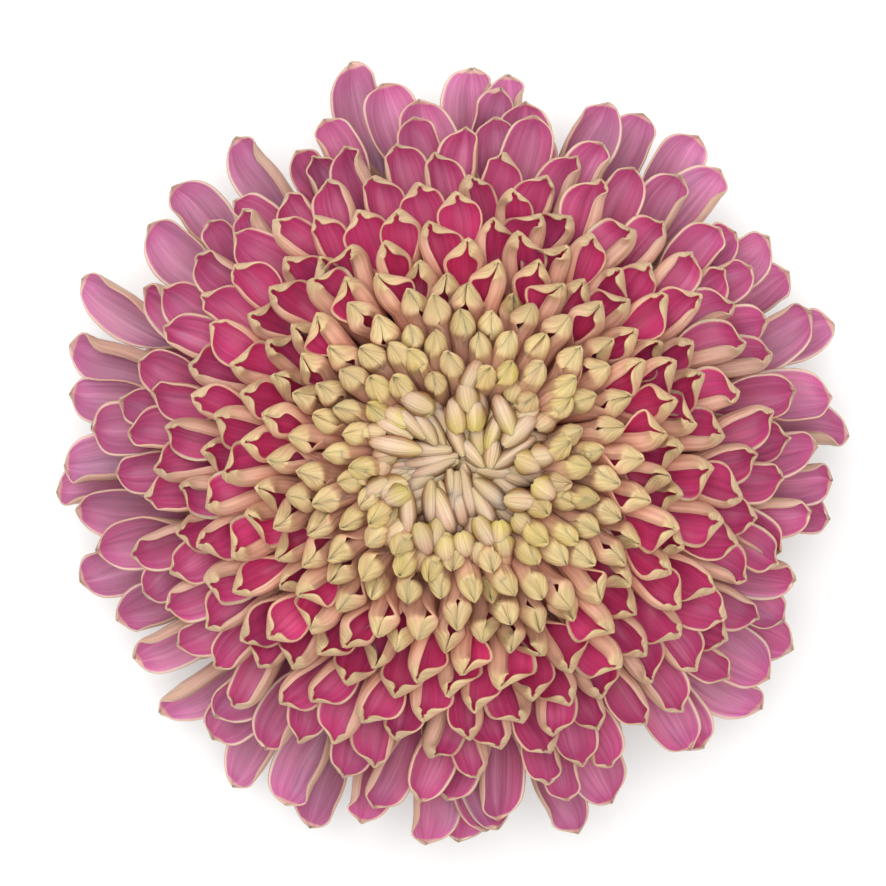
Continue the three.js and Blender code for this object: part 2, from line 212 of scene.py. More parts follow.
def lying_midrib(out, up, bulge):
    """Rises from (0, 0) to lie over inwards: it bulges out to `bulge` and ends at (out, up)."""
    first = np.array([bulge * LYING_FIRST[0], up * LYING_FIRST[1]])
    second = np.array([bulge * LYING_SECOND[0] - out * LYING_BACK, up * LYING_SECOND[1]])
    return bezier(first, second, np.array([out, up]))


# %% The strip across the midrib
COLS = 12
STRIP_STEPS = 5
MARGIN_POWER = 2.2
# where the tube is closed, one margin is this share further round, and the other this share smaller inside it
OVERLAP = 0.1
TUCK = 0.16


def rolled_strip(width, left, right, crease, curl, tuck):
    """Points across the strip, as (across, up) pairs: each half turns by its own angle, tighter at the edge.

    The two halves meet on the midrib in a crease, like the keel of a boat.
    """
    s = np.linspace(0, 1, (COLS // 2) * STRIP_STEPS + 1)
    halves = []
    for angle, sign, size in ((left, -1, 1.0), (right, 1, 1 - TUCK * tuck)):
        angle = angle * (1 + OVERLAP * tuck)
        turn = crease + (angle - crease) * ((1 - curl) * s + curl * s**MARGIN_POWER)
        steps = np.stack([sign * np.cos(turn), np.sin(turn)], axis=1)
        path = np.concatenate([[[0, 0]], np.cumsum((steps[1:] + steps[:-1]) / 2, axis=0)])
        halves.append((path * size * width / 2 / (len(s) - 1))[::STRIP_STEPS])
    return np.concatenate([halves[0][:0:-1], halves[1]])


# %% Rows along the midrib
TIP_ROWS = 22
TUBE_ROWS = 6
TIP_CROWDING = 1.5
# the crowded rows take this share of the midrib at most, and otherwise somewhat more than the mouth
TIP_SHARE = 0.6
TIP_MARGIN = 1.2


def rows_along(spine, mouth_length):
    """Marks along the midrib in mm, crowded towards the tip, with the places and slopes there."""
    places, slopes = spine
    travelled = np.concatenate([[0], np.cumsum(np.hypot(*np.diff(places, axis=0).T))])
    total = travelled[-1]
    near = min(total * TIP_SHARE, mouth_length * TIP_MARGIN)
    tube_marks = np.linspace(0, total - near, TUBE_ROWS, endpoint=False)
    tip_marks = total - near * np.linspace(1, 0, TIP_ROWS) ** TIP_CROWDING
    marks = np.concatenate([tube_marks, tip_marks])
    out, up, slope = (np.interp(marks, travelled, values) for values in (*places.T, slopes))
    return marks, np.stack([out, up], axis=1), slope


def smooth(low, high, value):
    """Goes from 0 at `low` to 1 at `high`, gently at both ends."""
    t = np.clip((value - low) / (high - low), 0, 1)
    return t * t * (3 - 2 * t)


def unit(vectors):
    return vectors / (np.linalg.norm(vectors, axis=-1, keepdims=True) + 1e-12)


# %% One floret as a closed mesh
LOOK_LENGTH = 24.0
PINCH_LENGTH = 6.0
CRUMPLE_LENGTH = 2.2
END_WIDTH = 0.25
FOOT_POWER = 1.4
CLOSED_ROLL = 364.0
TUCKED_FROM = 325.0
# the mouth is fully open at this share of its length, and the crease takes this share of a side at most
MOUTH_OPEN = 0.42
DEEPEST_CREASE = 0.8
# the petal is this much thinner at its margins and its end, and its tube and end are this much more even
THIN_MARGIN = 0.4
THIN_END = 0.25
EVEN_TUBE = 0.9
EVEN_END = 0.6
SWAY_POWER = 3
# the ridges beside the midrib run out over about this length before the tip
RIDGE_END = 2
# a strap is like this where its form says nothing else: lengths in mm, rolls in degrees
STRAP = {
    "foot": 0.4, "tube": CLOSED_ROLL, "uneven": 0.0, "curl": 0.0, "tip_cut": 0.98, "ridge": 0.12, "sway": 0.0,
    "thickness": 0.4,
}
form_chords = []


def floret_mesh(name, spine, shape):
    """A closed petal: `spine` is its midrib, `shape` its widths, rolls and thickness."""
    shape = {**STRAP, **shape}
    turning = ("tube", "mouth", "tip_roll", "crease")
    tube, mouth, tip_roll, keel = (math.radians(shape[part]) for part in turning)
    marks, places, slopes = rows_along(spine, shape["mouth_length"])
    total, widest = marks[-1], shape["widest"]
    to_tip = total - marks
    taper = np.clip((to_tip - widest) / (total - widest), 0, 1) ** FOOT_POWER
    narrowing = np.clip((widest - to_tip) / widest, 0, 1) * shape["tip_cut"]
    widths = shape["width"] * (1 - (1 - shape["foot"]) * taper)
    widths = widths * (1 - narrowing ** shape["tip_power"]) ** shape["tip_blunt"] + END_WIDTH
    closed = smooth(shape["mouth_length"] * MOUTH_OPEN, shape["mouth_length"], to_tip)
    pinch = 1 - smooth(0.0, PINCH_LENGTH, to_tip)
    rolls = mouth + (tube - mouth) * closed
    rolls = rolls + (tip_roll - rolls) * pinch
    grid = np.zeros((len(marks), COLS + 1, 3))
    for i, roll in enumerate(rolls):
        uneven = shape["uneven"] * (1 - EVEN_TUBE * closed[i]) * (1 - EVEN_END * pinch[i])
        left, right = roll * (0.5 + uneven), roll * (0.5 - uneven)
        crease = min(keel * pinch[i], DEEPEST_CREASE * left, DEEPEST_CREASE * right)
        tuck = smooth(math.radians(TUCKED_FROM), math.radians(CLOSED_ROLL), roll)
        strip = rolled_strip(widths[i], left, right, crease, shape["curl"] * (1 - closed[i]), tuck)
        up = np.array([-math.sin(slopes[i]), 0, math.cos(slopes[i])])
        sway = shape["sway"] * (marks[i] / total) ** SWAY_POWER
        centre = np.array([places[i][0], sway, places[i][1]])
        grid[i] = centre + strip[:, :1] * np.array([0, 1, 0]) + strip[:, 1:] * up
    normal = unit(np.cross(np.gradient(grid, axis=0), np.gradient(grid, axis=1)))
    # two soft ridges run beside the midrib
    across = np.linspace(-1, 1, COLS + 1)[:, None]
    ridges = np.cos(2 * math.pi * across) * (to_tip / (to_tip + RIDGE_END))[:, None, None]
    grid = grid - normal * ridges * shape["ridge"]
    # the end is crumpled and toothed a little, its own way on every form
    wild = np.random.default_rng(len(form_chords)).uniform(-1, 1, (2, COLS + 3))
    crumple = (wild[:, :-2] + 2 * wild[:, 1:-1] + wild[:, 2:]) / 4 * shape["teeth"]
    ahead = unit(np.gradient(places, axis=0))
    onwards = np.stack([ahead[:, 0], np.zeros(len(ahead)), ahead[:, 1]], axis=1)[:, None, :]
    near_end = (1 - smooth(0.0, CRUMPLE_LENGTH, to_tip))[:, None, None]
    grid = grid + (onwards * crumple[0][:, None] + normal * crumple[1][:, None]) * near_end
    thin = (1 - THIN_MARGIN * np.abs(across) ** 3) * (1 - THIN_END * pinch[:, None, None])
    half = normal * (shape["thickness"] * thin) / 2
    return petal_mesh(name, grid + half, grid - half, np.clip(1 - to_tip / LOOK_LENGTH, 0, 1))


# %% The two skins as one mesh
UV_MARGIN = 0.02


def petal_mesh(name, inner, outer, look):
    """Joins an inner and an outer skin along their edges, and gives the mesh its UV map and attributes."""
    high, wide = inner.shape[:2]
    half = high * wide
    faces, sheets = [], []
    for i in range(high - 1):
        for j in range(wide - 1):
            a, b, c, d = i * wide + j, i * wide + j + 1, (i + 1) * wide + j + 1, (i + 1) * wide + j
            faces += [(a, d, c, b), (a + half, b + half, c + half, d + half)]
            sheets += [0, 1]
    for i in range(high - 1):
        a, b, c, d = i * wide, i * wide + wide - 1, (i + 1) * wide + wide - 1, (i + 1) * wide
        faces += [(a, a + half, d + half, d), (b, c, c + half, b + half)]
        sheets += [2, 2]
    for j in range(wide - 1):
        a = (high - 1) * wide + j
        faces += [(j, j + 1, j + 1 + half, j + half), (a, a + half, a + 1 + half, a + 1)]
        sheets += [2, 2]
    mesh = bpy.data.meshes.new(name)
    points = np.concatenate([inner.reshape(-1, 3), outer.reshape(-1, 3)]) * MM
    mesh.from_pydata(points.tolist(), [], faces)
    mesh.polygons.foreach_set("use_smooth", [True] * len(faces))
    across = np.tile(np.linspace(-1, 1, wide), high)
    for label, values in (("across", across), ("along", np.repeat(look, wide))):
        layer = mesh.attributes.new(label, "FLOAT", "POINT")
        layer.data.foreach_set("value", np.tile(values, 2).astype(np.float32))
    back = mesh.attributes.new("back", "FLOAT", "FACE")
    back.data.foreach_set("value", [float(sheet > 0) for sheet in sheets])
    corners = np.zeros(len(mesh.loops), dtype=np.int64)
    mesh.loops.foreach_get("vertex_index", corners)
    corners = corners % half
    climb = np.repeat(np.linspace(0, 1, high), wide)
    beside = np.where(np.repeat(sheets, 4) > 0, 0.5, 0.0)
    u = (across[corners] * 0.5 + 0.5) * (0.5 - 2 * UV_MARGIN) + UV_MARGIN + beside
    v = climb[corners] * (1 - 2 * UV_MARGIN) + UV_MARGIN
    uv_map = mesh.uv_layers.new(name="UVMap")
    uv_map.data.foreach_set("uv", np.stack([u, v], axis=1).astype(np.float32).ravel())
    return mesh


# %% [markdown]
# ## A drawer of floret forms
#
# Cutting every floret on its own would be slow, and one form for all would look stamped. So a form is cut
# for every two millimetres of reach, in eight ways each, from even to rolled over on one side. The bud has
# its own forms, fingers that lie over towards the middle with their backs up, and so have the florets that
# hang under the rim.

# %% Shapes by reach
# each table holds pairs of a reach and a value: lengths in mm, rolls and slopes in degrees
ROLL_BY_REACH = [
    (12, 364), (20, 360), (24, 340), (28, 325), (33, 260), (37, 225), (40, 210), (44, 202), (48, 189),
    (52, 173), (57, 159), (66, 142),
]
MIDRIB_BY_REACH = {
    "end": [(12, 62), (16, 48), (21, 36), (25, 26), (30, 19), (37, 8), (45, -3), (52, -10), (66, -14)],
    "hook": [(12, 56), (16, 44), (20, 48), (24, 72), (30, 110), (38, 126), (45, 124), (52, 100), (66, 50)],
    "hook_length": [(12, 4.6), (21, 4.6), (30, 5.6), (38, 6.0), (45, 5.6), (52, 4.6), (66, 4.0)],
}
STRAP_BY_REACH = {
    "width": [
        (12, 11.4), (18, 13.0), (24, 13.4), (30, 12.6), (37, 11.4), (43, 10.6), (50, 10.0), (56, 10.8),
        (62, 11.2),
    ],
    "widest": [(12, 2.1), (20, 2.9), (26, 4.6), (31, 6.8), (38, 8.0), (66, 8.5)],
    "mouth_length": [
        (12, 3.0), (20, 4.4), (26, 8.0), (32, 11.0), (38, 13.0), (45, 15.0), (52, 18.0), (60, 21.0),
    ],
    "crease": [(12, 0), (22, 16), (28, 38), (45, 44), (56, 22), (66, 12)],
    "tip_roll": [(12, 352), (20, 350), (26, 310), (31, 265), (38, 205), (45, 155), (52, 124), (66, 98)],
    "tip_cut": [(30, 1.0), (36, 0.97), (46, 0.97), (54, 1.0)],
    "tip_power": [(12, 3.0), (20, 2.7), (30, 2.0), (46, 2.0), (56, 2.2)],
    "tip_blunt": [(12, 0.5), (20, 0.54), (30, 0.62), (46, 0.62), (56, 0.54)],
    "teeth": [(12, 0.5), (30, 0.45), (46, 0.3), (58, 0.15)],
}
# how much further one side is rolled than the other, how open the mouth is, and how far the tip sways aside
WAYS = [
    (0.03, 1.0, 0.5), (0.15, 0.84, -1.0), (-0.16, 0.9, 1.2), (0.06, 1.12, 0.2), (-0.1, 0.66, -0.6),
    (0.27, 0.76, 1.5), (-0.28, 0.82, -1.4), (0.36, 0.64, 0.5),
]
# a tube that opens by this many degrees has its sides fully apart, and then its margins curl by this share
PARTED = 60
MARGIN_CURL = 0.15


# %% Forms that reach out
forms = bpy.data.collections.new("floret forms")


def keep_form(spine, shape):
    """Puts a form into the drawer, and gives its number there."""
    mesh = floret_mesh(f"form_{len(form_chords):03d}", spine, shape)
    forms.objects.link(bpy.data.objects.new(mesh.name, mesh))
    form_chords.append(tuple(spine[0][-1]))
    return len(form_chords) - 1


def open_form(reach, way):
    root_radius, root_height = root_at(share_of(reach))
    uneven, openness, sway = WAYS[way]
    opening = (CLOSED_ROLL - look_up(ROLL_BY_REACH, reach)) * openness
    parting = min(1.0, opening / PARTED)
    bends = {part: look_up(table, reach) for part, table in MIDRIB_BY_REACH.items()}
    shape = {part: look_up(table, reach) for part, table in STRAP_BY_REACH.items()}
    shape.update(mouth=CLOSED_ROLL - opening, uneven=uneven * parting, curl=MARGIN_CURL * parting, sway=sway)
    return keep_form(open_midrib(reach - root_radius, tip_height(reach) - root_height, **bends), shape)


FORM_START = 12.0
FORM_STEP = 2.0
FORM_COUNT = 27
open_forms = [
    [open_form(FORM_START + FORM_STEP * k, way) for way in range(len(WAYS))] for k in range(FORM_COUNT)
]

# %% Fingers of the bud
BUD_BULGE = 6.0
BUD_ROOT = 22.0
BUD_TIP = 56.4
BUD_LENGTHS = [3.5, 5.0, 6.5, 8.0, 9.5, 11.0]
BUD_WIDTHS = [3.9, 4.7, 5.6, 6.8]
BUD_SWAY = 0.5
FINGER = {
    "foot": 0.45, "tube": 245, "mouth": 220, "mouth_length": 7.0, "tip_roll": 190, "crease": 0,
    "tip_cut": 0.985, "teeth": 0.12, "ridge": 0.24,
}
# fingers up to this length have the blunter of the two tips
STUBBY = 5
STUBBY_TIP = {"tip_power": 2.5, "tip_blunt": 0.54}
LONG_TIP = {"tip_power": 2.0, "tip_blunt": 0.62}
# a finger is widest this far from its tip, or at this share of its length if it is short
FINGER_WIDEST = 4.4
FINGER_WIDEST_SHARE = 0.55


def bud_form(length, width, sway):
    tip = LONG_TIP if length > STUBBY else STUBBY_TIP
    widest = min(FINGER_WIDEST, length * FINGER_WIDEST_SHARE)
    shape = {**FINGER, **tip, "width": width, "widest": widest, "sway": sway}
    return keep_form(lying_midrib(BUD_BULGE - length, BUD_TIP - BUD_ROOT, BUD_BULGE), shape)


bud_forms = [
    [bud_form(length, width, BUD_SWAY * (-1) ** (row + col)) for col, width in enumerate(BUD_WIDTHS)]
    for row, length in enumerate(BUD_LENGTHS)
]

# %% Florets under the rim
# reach, tip height and end slope, from the uppermost to the lowest
UNDER_REACH = (52.0, 41.0)
UNDER_TIP = (18.5, 1.2)
UNDER_SLOPE = (-14, -26)
UNDER_HOOK = 34
UNDER_HOOK_LENGTH = 5.0
UNDER_STEPS = 6
# they are rooted this much inside the receptacle's edge
UNDER_INSET = 1
UNDER_STRAP = {
    "width": 9.4, "widest": 6.0, "tube": 340, "mouth": 118, "mouth_length": 20.0, "tip_roll": 110,
    "crease": 20, "curl": 0.1, "tip_power": 2.3, "tip_blunt": 0.52, "teeth": 0.4,
}


def under_form(along, way):
    uneven, _, sway = WAYS[way]
    out = part_way(UNDER_REACH, along) - RECEPTACLE_RADIUS + UNDER_INSET
    up = part_way(UNDER_TIP, along) - RECEPTACLE_EDGE
    spine = open_midrib(out, up, part_way(UNDER_SLOPE, along), UNDER_HOOK, UNDER_HOOK_LENGTH)
    return keep_form(spine, {**UNDER_STRAP, "uneven": uneven, "sway": sway})


under_forms = [
    [under_form((k + 0.5) / UNDER_STEPS, way) for way in range(len(WAYS))] for k in range(UNDER_STEPS)
]
print(len(form_chords), "forms in the drawer")

# %% [markdown]
# ## Planting the florets
#
# Copying florets by hand would take days, and a plain array would look stiff. A Geometry Nodes tree plants
# them: it takes one point for each root, picks the form, turns it to its azimuth, rolls it a little about its
# own length, and makes the copies real. Then a slow ripple bends each petal its own way, so that no two
# copies are quite alike, and the whole head leans a little off the stem.

# %% The planting tree
SEED_GAP = 17.0
RIPPLE_POWER = 2.0


def planting_tree():
    tree = bpy.data.node_groups.new("Plant florets", "GeometryNodeTree")
    face = tree.interface
    face.new_socket("Geometry", in_out="OUTPUT", socket_type="NodeSocketGeometry")
    sockets = {}
    for name, kind in (
        ("Roots", "Geometry"), ("Forms", "Collection"), ("Seed", "Int"), ("Roll spread", "Float"),
        ("Size spread", "Float"), ("Ripple depth", "Float"), ("Ripples per metre", "Float"),
        ("Lean", "Vector"), ("Lean centre", "Vector"), ("Lean start", "Float"), ("Lean full", "Float"),
        ("Sheet columns", "Int"), ("Face finish", "Material"), ("Back finish", "Material"),
    ):
        sockets[name] = face.new_socket(name, in_out="INPUT", socket_type="NodeSocket" + kind).identifier
    add = partial(add_node, tree)
    given = add("NodeGroupInput")
    kept = {}
    for name, kind in (
        ("azimuth", "FLOAT"), ("slope", "FLOAT"), ("roll", "FLOAT"), ("size", "FLOAT"), ("form", "INT"),
        ("cell", "INT"), ("along", "FLOAT"), ("back", "FLOAT"), ("UVMap", "FLOAT_VECTOR"),
    ):
        kept[name] = add("GeometryNodeInputNamedAttribute", {"Name": name}, data_type=kind)[0]

    # each root varies the roll and the size of its floret a little
    later = add("ShaderNodeMath", {0: given["Seed"], 1: SEED_GAP}, operation="ADD")[0]
    varied = {}
    for trait, seed, spread in (("roll", given["Seed"], "Roll spread"), ("size", later, "Size spread")):
        chance = add("FunctionNodeRandomValue", {2: -1.0, 3: 1.0, "Seed": seed}, data_type="FLOAT")[1]
        terms = {0: chance, 1: given[spread], 2: kept[trait]}
        varied[trait] = add("ShaderNodeMath", terms, operation="MULTIPLY_ADD")[0]

    # turn each floret to its azimuth, then roll it about the line from its root to its tip
    slope = {0: kept["slope"]}
    cosine, sine = (add("ShaderNodeMath", slope, operation=wave)[0] for wave in ("COSINE", "SINE"))
    chord = add("ShaderNodeCombineXYZ", {0: cosine, 2: sine})[0]
    turns = {}
    for k, (axis, angle) in enumerate((((0, 0, 1), kept["azimuth"]), (chord, varied["roll"]))):
        turns[k] = add("FunctionNodeAxisAngleToRotation", {"Axis": axis, "Angle": angle})[0]
    turned = add("FunctionNodeRotateRotation", turns, rotation_space="LOCAL")[0]
    drawer = add(
        "GeometryNodeCollectionInfo",
        {"Collection": given["Forms"], "Separate Children": True, "Reset Children": True},
    )[0]
    planted = add(
        "GeometryNodeInstanceOnPoints",
        {
            "Points": given["Roots"], "Instance": drawer, "Pick Instance": True,
            "Instance Index": kept["form"], "Rotation": turned, "Scale": varied["size"],
        },
    )[0]
    real = add("GeometryNodeRealizeInstances", {0: planted})[0]

    # a slow ripple that grows towards the tip
    place = add("GeometryNodeInputPosition")[0]
    waves = {"Vector": place, "Scale": given["Ripples per metre"], "Detail": 2.0, "Roughness": 0.4}
    noise = add("ShaderNodeTexNoise", waves)[1]
    centred = add("ShaderNodeVectorMath", {0: noise, 1: (0.5, 0.5, 0.5)}, operation="SUBTRACT")[0]
    growing = add("ShaderNodeMath", {0: kept["along"], 1: RIPPLE_POWER}, operation="POWER")[0]
    depth = add("ShaderNodeMath", {0: growing, 1: given["Ripple depth"]}, operation="MULTIPLY")[0]
    ripple = add("ShaderNodeVectorMath", {0: centred, "Scale": depth}, operation="SCALE")[0]
    rippled = add("GeometryNodeSetPosition", {"Geometry": real, "Offset": ripple})[0]

    # the whole head leans off the stem, the more so the further a point is from the receptacle
    away = add("ShaderNodeVectorMath", {0: place, 1: given["Lean centre"]}, operation="DISTANCE")["Value"]
    reach = {"Value": away, "From Min": given["Lean start"], "From Max": given["Lean full"]}
    weight = add("ShaderNodeMapRange", reach)[0]
    shift = add("ShaderNodeVectorMath", {0: given["Lean"], "Scale": weight}, operation="SCALE")[0]
    leaning = add("GeometryNodeSetPosition", {"Geometry": rippled, "Offset": shift})[0]

    # every floret gets its own square of the texture sheet
    columns = given["Sheet columns"]
    column = add("ShaderNodeMath", {0: kept["cell"], 1: columns}, operation="MODULO")[0]
    quotient = add("ShaderNodeMath", {0: kept["cell"], 1: columns}, operation="DIVIDE")[0]
    row = add("ShaderNodeMath", {0: quotient}, operation="FLOOR")[0]
    corner = add("ShaderNodeCombineXYZ", {0: column, 1: row})[0]
    moved = add("ShaderNodeVectorMath", {0: kept["UVMap"], 1: corner}, operation="ADD")[0]
    share = add("ShaderNodeMath", {0: 1.0, 1: columns}, operation="DIVIDE")[0]
    packed = add("ShaderNodeVectorMath", {0: moved, "Scale": share}, operation="SCALE")[0]
    mapped = add(
        "GeometryNodeStoreNamedAttribute",
        {"Geometry": leaning, "Name": "OFBake", "Value": packed},
        data_type="FLOAT2",
        domain="CORNER",
    )[0]

    faced = add("GeometryNodeSetMaterial", {"Geometry": mapped, "Material": given["Face finish"]})[0]
    is_back = add("ShaderNodeMath", {0: kept["back"], 1: 0.5}, operation="GREATER_THAN")[0]
    backing = {"Geometry": faced, "Selection": is_back, "Material": given["Back finish"]}
    add("NodeGroupOutput", {0: add("GeometryNodeSetMaterial", backing)[0]})
    return tree, sockets


plant, plant_inputs = planting_tree()
print(len(plant.nodes), "nodes plant the florets, with the inputs", ", ".join(plant_inputs))

# %% [markdown]
# ## Finishes of the florets
#
# A chrysanthemum petal is a thin, moist leaf of cells under a waxy skin. Light goes into it and comes out
# again nearby, which is why it glows, and its skin gives only a soft satin shine. The face carries the
# anthocyanin red, the back almost none. Both show fine lengthwise veins about half a millimetre apart. A
# painted picture could give all this to one petal. Noise that is drawn out along the strap gives it to every
# petal anew.

# %% What the finishes share
STRIP_WIDTH = 10.0
# florets lie this far apart in the noise, so that no two have the same veins
APART = 90.0
# moist cells under a film of wax bend light a little more than water does
PETAL_IOR = 1.42


def start_finish(name, *labels):
    """A new material, a way to add nodes to it, and what the named attributes say at each point."""
    made = bpy.data.materials.new(name)
    made.use_nodes = True
    add = partial(add_node, made.node_tree)
    at = {label: add("ShaderNodeAttribute", attribute_name=label)["Fac"] for label in labels}
    return made, add, at


def streaks(add, at, gap, run, detail=2.0):
    """Noise drawn out along the petal: veins `gap` mm apart that last about `run` mm, new on every floret."""
    place = add("ShaderNodeCombineXYZ", {0: at["across"], 1: at["along"], 2: at["tone"]})[0]
    scales = (STRIP_WIDTH / 2 / gap, LOOK_LENGTH / run, APART)
    spot = add("ShaderNodeVectorMath", {0: place, 1: scales}, operation="MULTIPLY")[0]
    return add("ShaderNodeTexNoise", {"Vector": spot, "Scale": 1.0, "Detail": detail, "Roughness": 0.55})[0]


def dye(add, flesh, layers, shades=()):
    """Lays layers of colour over the flesh, then makes it lighter or darker by each shade in turn.

    A layer is a colour and the shares whose product says how much of it shows.
    """
    for colour, *shares in layers:
        showing = 1.0
        for share in shares:
            showing = add("ShaderNodeMath", {0: showing, 1: share}, operation="MULTIPLY")[0]
        colour = linear(colour) if isinstance(colour, str) else colour
        flesh = add("ShaderNodeMix", {0: showing, 6: flesh, 7: colour}, data_type="RGBA")[2]
    for shade in shades:
        flesh = add("ShaderNodeVectorMath", {0: flesh, "Scale": shade}, operation="SCALE")[0]
    return flesh


def end_finish(made, skin):
    """Gives the shader its colour and relief, and says how the skin shines and lets light in."""
    set_inputs(made.node_tree, made.node_tree.nodes["Principled BSDF"], skin)
    return made


# %% The face of a petal
def petal_face():
    """Upper skin of a ray floret, grown full of red sap: magenta, paler and bluer on the old florets.

    Pale veins run along it, with painted shade in darker lengthwise furrows and down the throat of its tube,
    and the cream of the back comes round its edge. Its rows of cells are finer than a tenth of a millimetre,
    so the fibres are drawn as coarse as they need to show.
    """
    made, add, at = start_finish("Ray floret face", "across", "along", "tone", "zone")
    side = add("ShaderNodeMath", {0: at["across"]}, operation="ABSOLUTE")[0]
    ageing = {"Value": at["zone"], "From Min": 0.5, "From Max": 0.95, "To Min": 0.12}
    age = add("ShaderNodeMapRange", ageing)[0]
    # the cream edge is thinner on the old florets
    thinner = add("ShaderNodeMath", {0: age, 1: -0.025, 2: side}, operation="MULTIPLY_ADD")[0]
    # what is read, where a change starts and ends, and what it gives there
    spans = {
        # a painted violet sheen towards the tip
        "violet_sheen": (at["along"], 0.66, 0.96, 0.0, 0.3),
        "vein": (streaks(add, at, 0.55, 30.0), 0.52, 0.72, 0.0, 0.3),
        # painted shade in lengthwise furrows, lighter between them
        "furrow_shade": (streaks(add, at, 0.9, 24.0), 0.34, 0.6, 0.87, 1.08),
        "fibre": (streaks(add, at, 0.22, 8.0, 1.0), 0.36, 0.64, 0.92, 1.07),
        # painted shade, darker down the throat of the tube
        "throat_shade": (at["along"], 0.4, 0.95, 0.9, 1.04),
        "own": (at["tone"], 0.0, 1.0, 0.86, 1.14),
        "margin": (thinner, 0.885, 0.935),
        "end": (at["along"], 0.958, 0.972),
    }
    fade = {label: add("ShaderNodeMapRange", dict(enumerate(span)))[0] for label, span in spans.items()}
    by_zone = [
        (0.20, "#E09A8C"), (0.34, "#EE6276"), (0.50, "#E44074"), (0.68, "#C64174"), (0.84, "#B4567A"),
        (1.0, "#AC7992"),
    ]
    flesh = add("ShaderNodeValToRGB", {0: at["zone"]}, stops=by_zone)[0]
    # a painted sheen turns the red violet towards the brightly lit tip, and old florets show pale veins
    layers = [("#AC58A2", fade["violet_sheen"]), ("#CC9AB0", fade["vein"], age)]
    shaded = dye(add, flesh, layers, [fade[label] for label in ("furrow_shade", "fibre", "throat_shade", "own")])
    edge = add("ShaderNodeMath", {0: fade["margin"], 1: fade["end"]}, operation="MAXIMUM")[0]
    edge_cream = dye(add, linear("#CAB284"), [("#D2B6A6", age)])
    relief = {"Strength": 0.4, "Distance": 0.2 * MM, "Height": streaks(add, at, 0.5, 24.0)}
    return end_finish(made, {
        "Base Color": dye(add, shaded, [(edge_cream, edge)]), "Normal": add("ShaderNodeBump", relief)[0],
        "Roughness": 0.5, "IOR": PETAL_IOR, "Subsurface Weight": 0.6, "Subsurface Radius": (1.0, 0.4, 0.55),
        "Subsurface Scale": 1.8 * MM,
    })


# %% The back of a petal
def petal_back():
    """Under skin of a ray floret, with almost no red sap: cream flushed with pink in long streaks.

    The tips of the young florets are still yellow-green from the bud, and painted shade darkens every floret
    down its tube.
    """
    made, add, at = start_finish("Ray floret back", "across", "along", "tone", "zone", "green")
    side = add("ShaderNodeMath", {0: at["across"]}, operation="ABSOLUTE")[0]
    # what is read, where a change starts and ends, and what it gives there
    spans = {
        "older": (at["zone"], 0.45, 0.9, 0.0, 0.8),
        "youngest": (at["zone"], 0.12, 0.34, 0.95, 0.0),
        # painted shade starts nearer the tip on the short fingers
        "shade_sooner": (at["zone"], 0.12, 0.24, 0.0, 0.28),
        # painted shade on the flanks of the bud's fingers
        "crevice_shade": (side, 0.3, 0.72, 0.0, 0.95),
        "in_bud": (at["zone"], 0.2, 0.26, 1.0, 0.0),
        "flush": (streaks(add, at, 0.8, 30.0), 0.46, 0.72, 0.0, 0.36),
        "near_tip": (at["along"], 0.84, 0.985, 0.04, 1.0),
        "patch": (streaks(add, at, 0.6, 10.0), 0.36, 0.58, 0.35, 1.0),
        # painted shade in lengthwise furrows, lighter between them
        "furrow_shade": (streaks(add, at, 0.45, 20.0), 0.36, 0.6, 0.86, 1.06),
        "own": (at["tone"], 0.0, 1.0, 0.9, 1.08),
    }
    fade = {label: add("ShaderNodeMapRange", dict(enumerate(span)))[0] for label, span in spans.items()}
    # painted shade: darker down the tube, where its neighbours cover it; pink in the middle, cream at the tip
    pink_and_shade_by_length = [(0.2, "#B86C50"), (0.5, "#F2A48A"), (0.8, "#DCAA90"), (0.95, "#CAB07E")]
    flesh = add("ShaderNodeValToRGB", {0: at["along"]}, stops=pink_and_shade_by_length)[0]
    # painted shade: the short fingers round the bud darken sooner below their tips than the long ones in its
    # middle
    lit = add("ShaderNodeMath", {0: at["along"], 1: fade["shade_sooner"]}, operation="SUBTRACT")[0]
    in_shade = [(0.42, "#6E3A10"), (0.6, "#BE9270"), (0.8, "#D2B89E"), (0.95, "#CCB28E")]
    bud_cream_and_shade = add("ShaderNodeValToRGB", {0: lit}, stops=in_shade)[0]
    layers = [
        # duller and pinker on the old florets, purer cream on the youngest, with painted shade down their
        # fingers
        ("#B29688", fade["older"]), (bud_cream_and_shade, fade["youngest"]),
        # painted shade in olive brown on the flanks of the bud's fingers, where they go down between their
        # neighbours
        ("#7E4C14", fade["crevice_shade"], fade["in_bud"]),
        # the pink flush, and yellow-green at the tip, which runs back along the veins
        ("#BC7C6E", fade["flush"]), ("#BCAA4C", fade["near_tip"], at["green"], fade["patch"]),
    ]
    relief = {"Strength": 0.8, "Distance": 0.4 * MM, "Height": streaks(add, at, 0.45, 24.0)}
    return end_finish(made, {
        "Base Color": dye(add, flesh, layers, [fade["furrow_shade"], fade["own"]]),
        "Normal": add("ShaderNodeBump", relief)[0], "Roughness": 0.46, "IOR": PETAL_IOR,
        "Subsurface Weight": 0.45, "Subsurface Radius": (1.0, 0.75, 0.55), "Subsurface Scale": 1.1 * MM,
    })


face_finish = petal_face()
back_finish = petal_back()
print([(made.name, len(made.node_tree.nodes)) for made in (face_finish, back_finish)], "nodes")

# %% [markdown]
# ## Sorting the florets into rings
#
# The bloom is kept as seven rings, from the bud out to the florets under the rim, so that each stays a light
# mesh. Every floret's root is one point with its azimuth, form, size and tint, and the chances that vary them
# come from one seeded source. The eye goes to the bud first, so its fingers are placed one by one: where the
# tip is, which way it points, how much of its back shows and how wide it is.

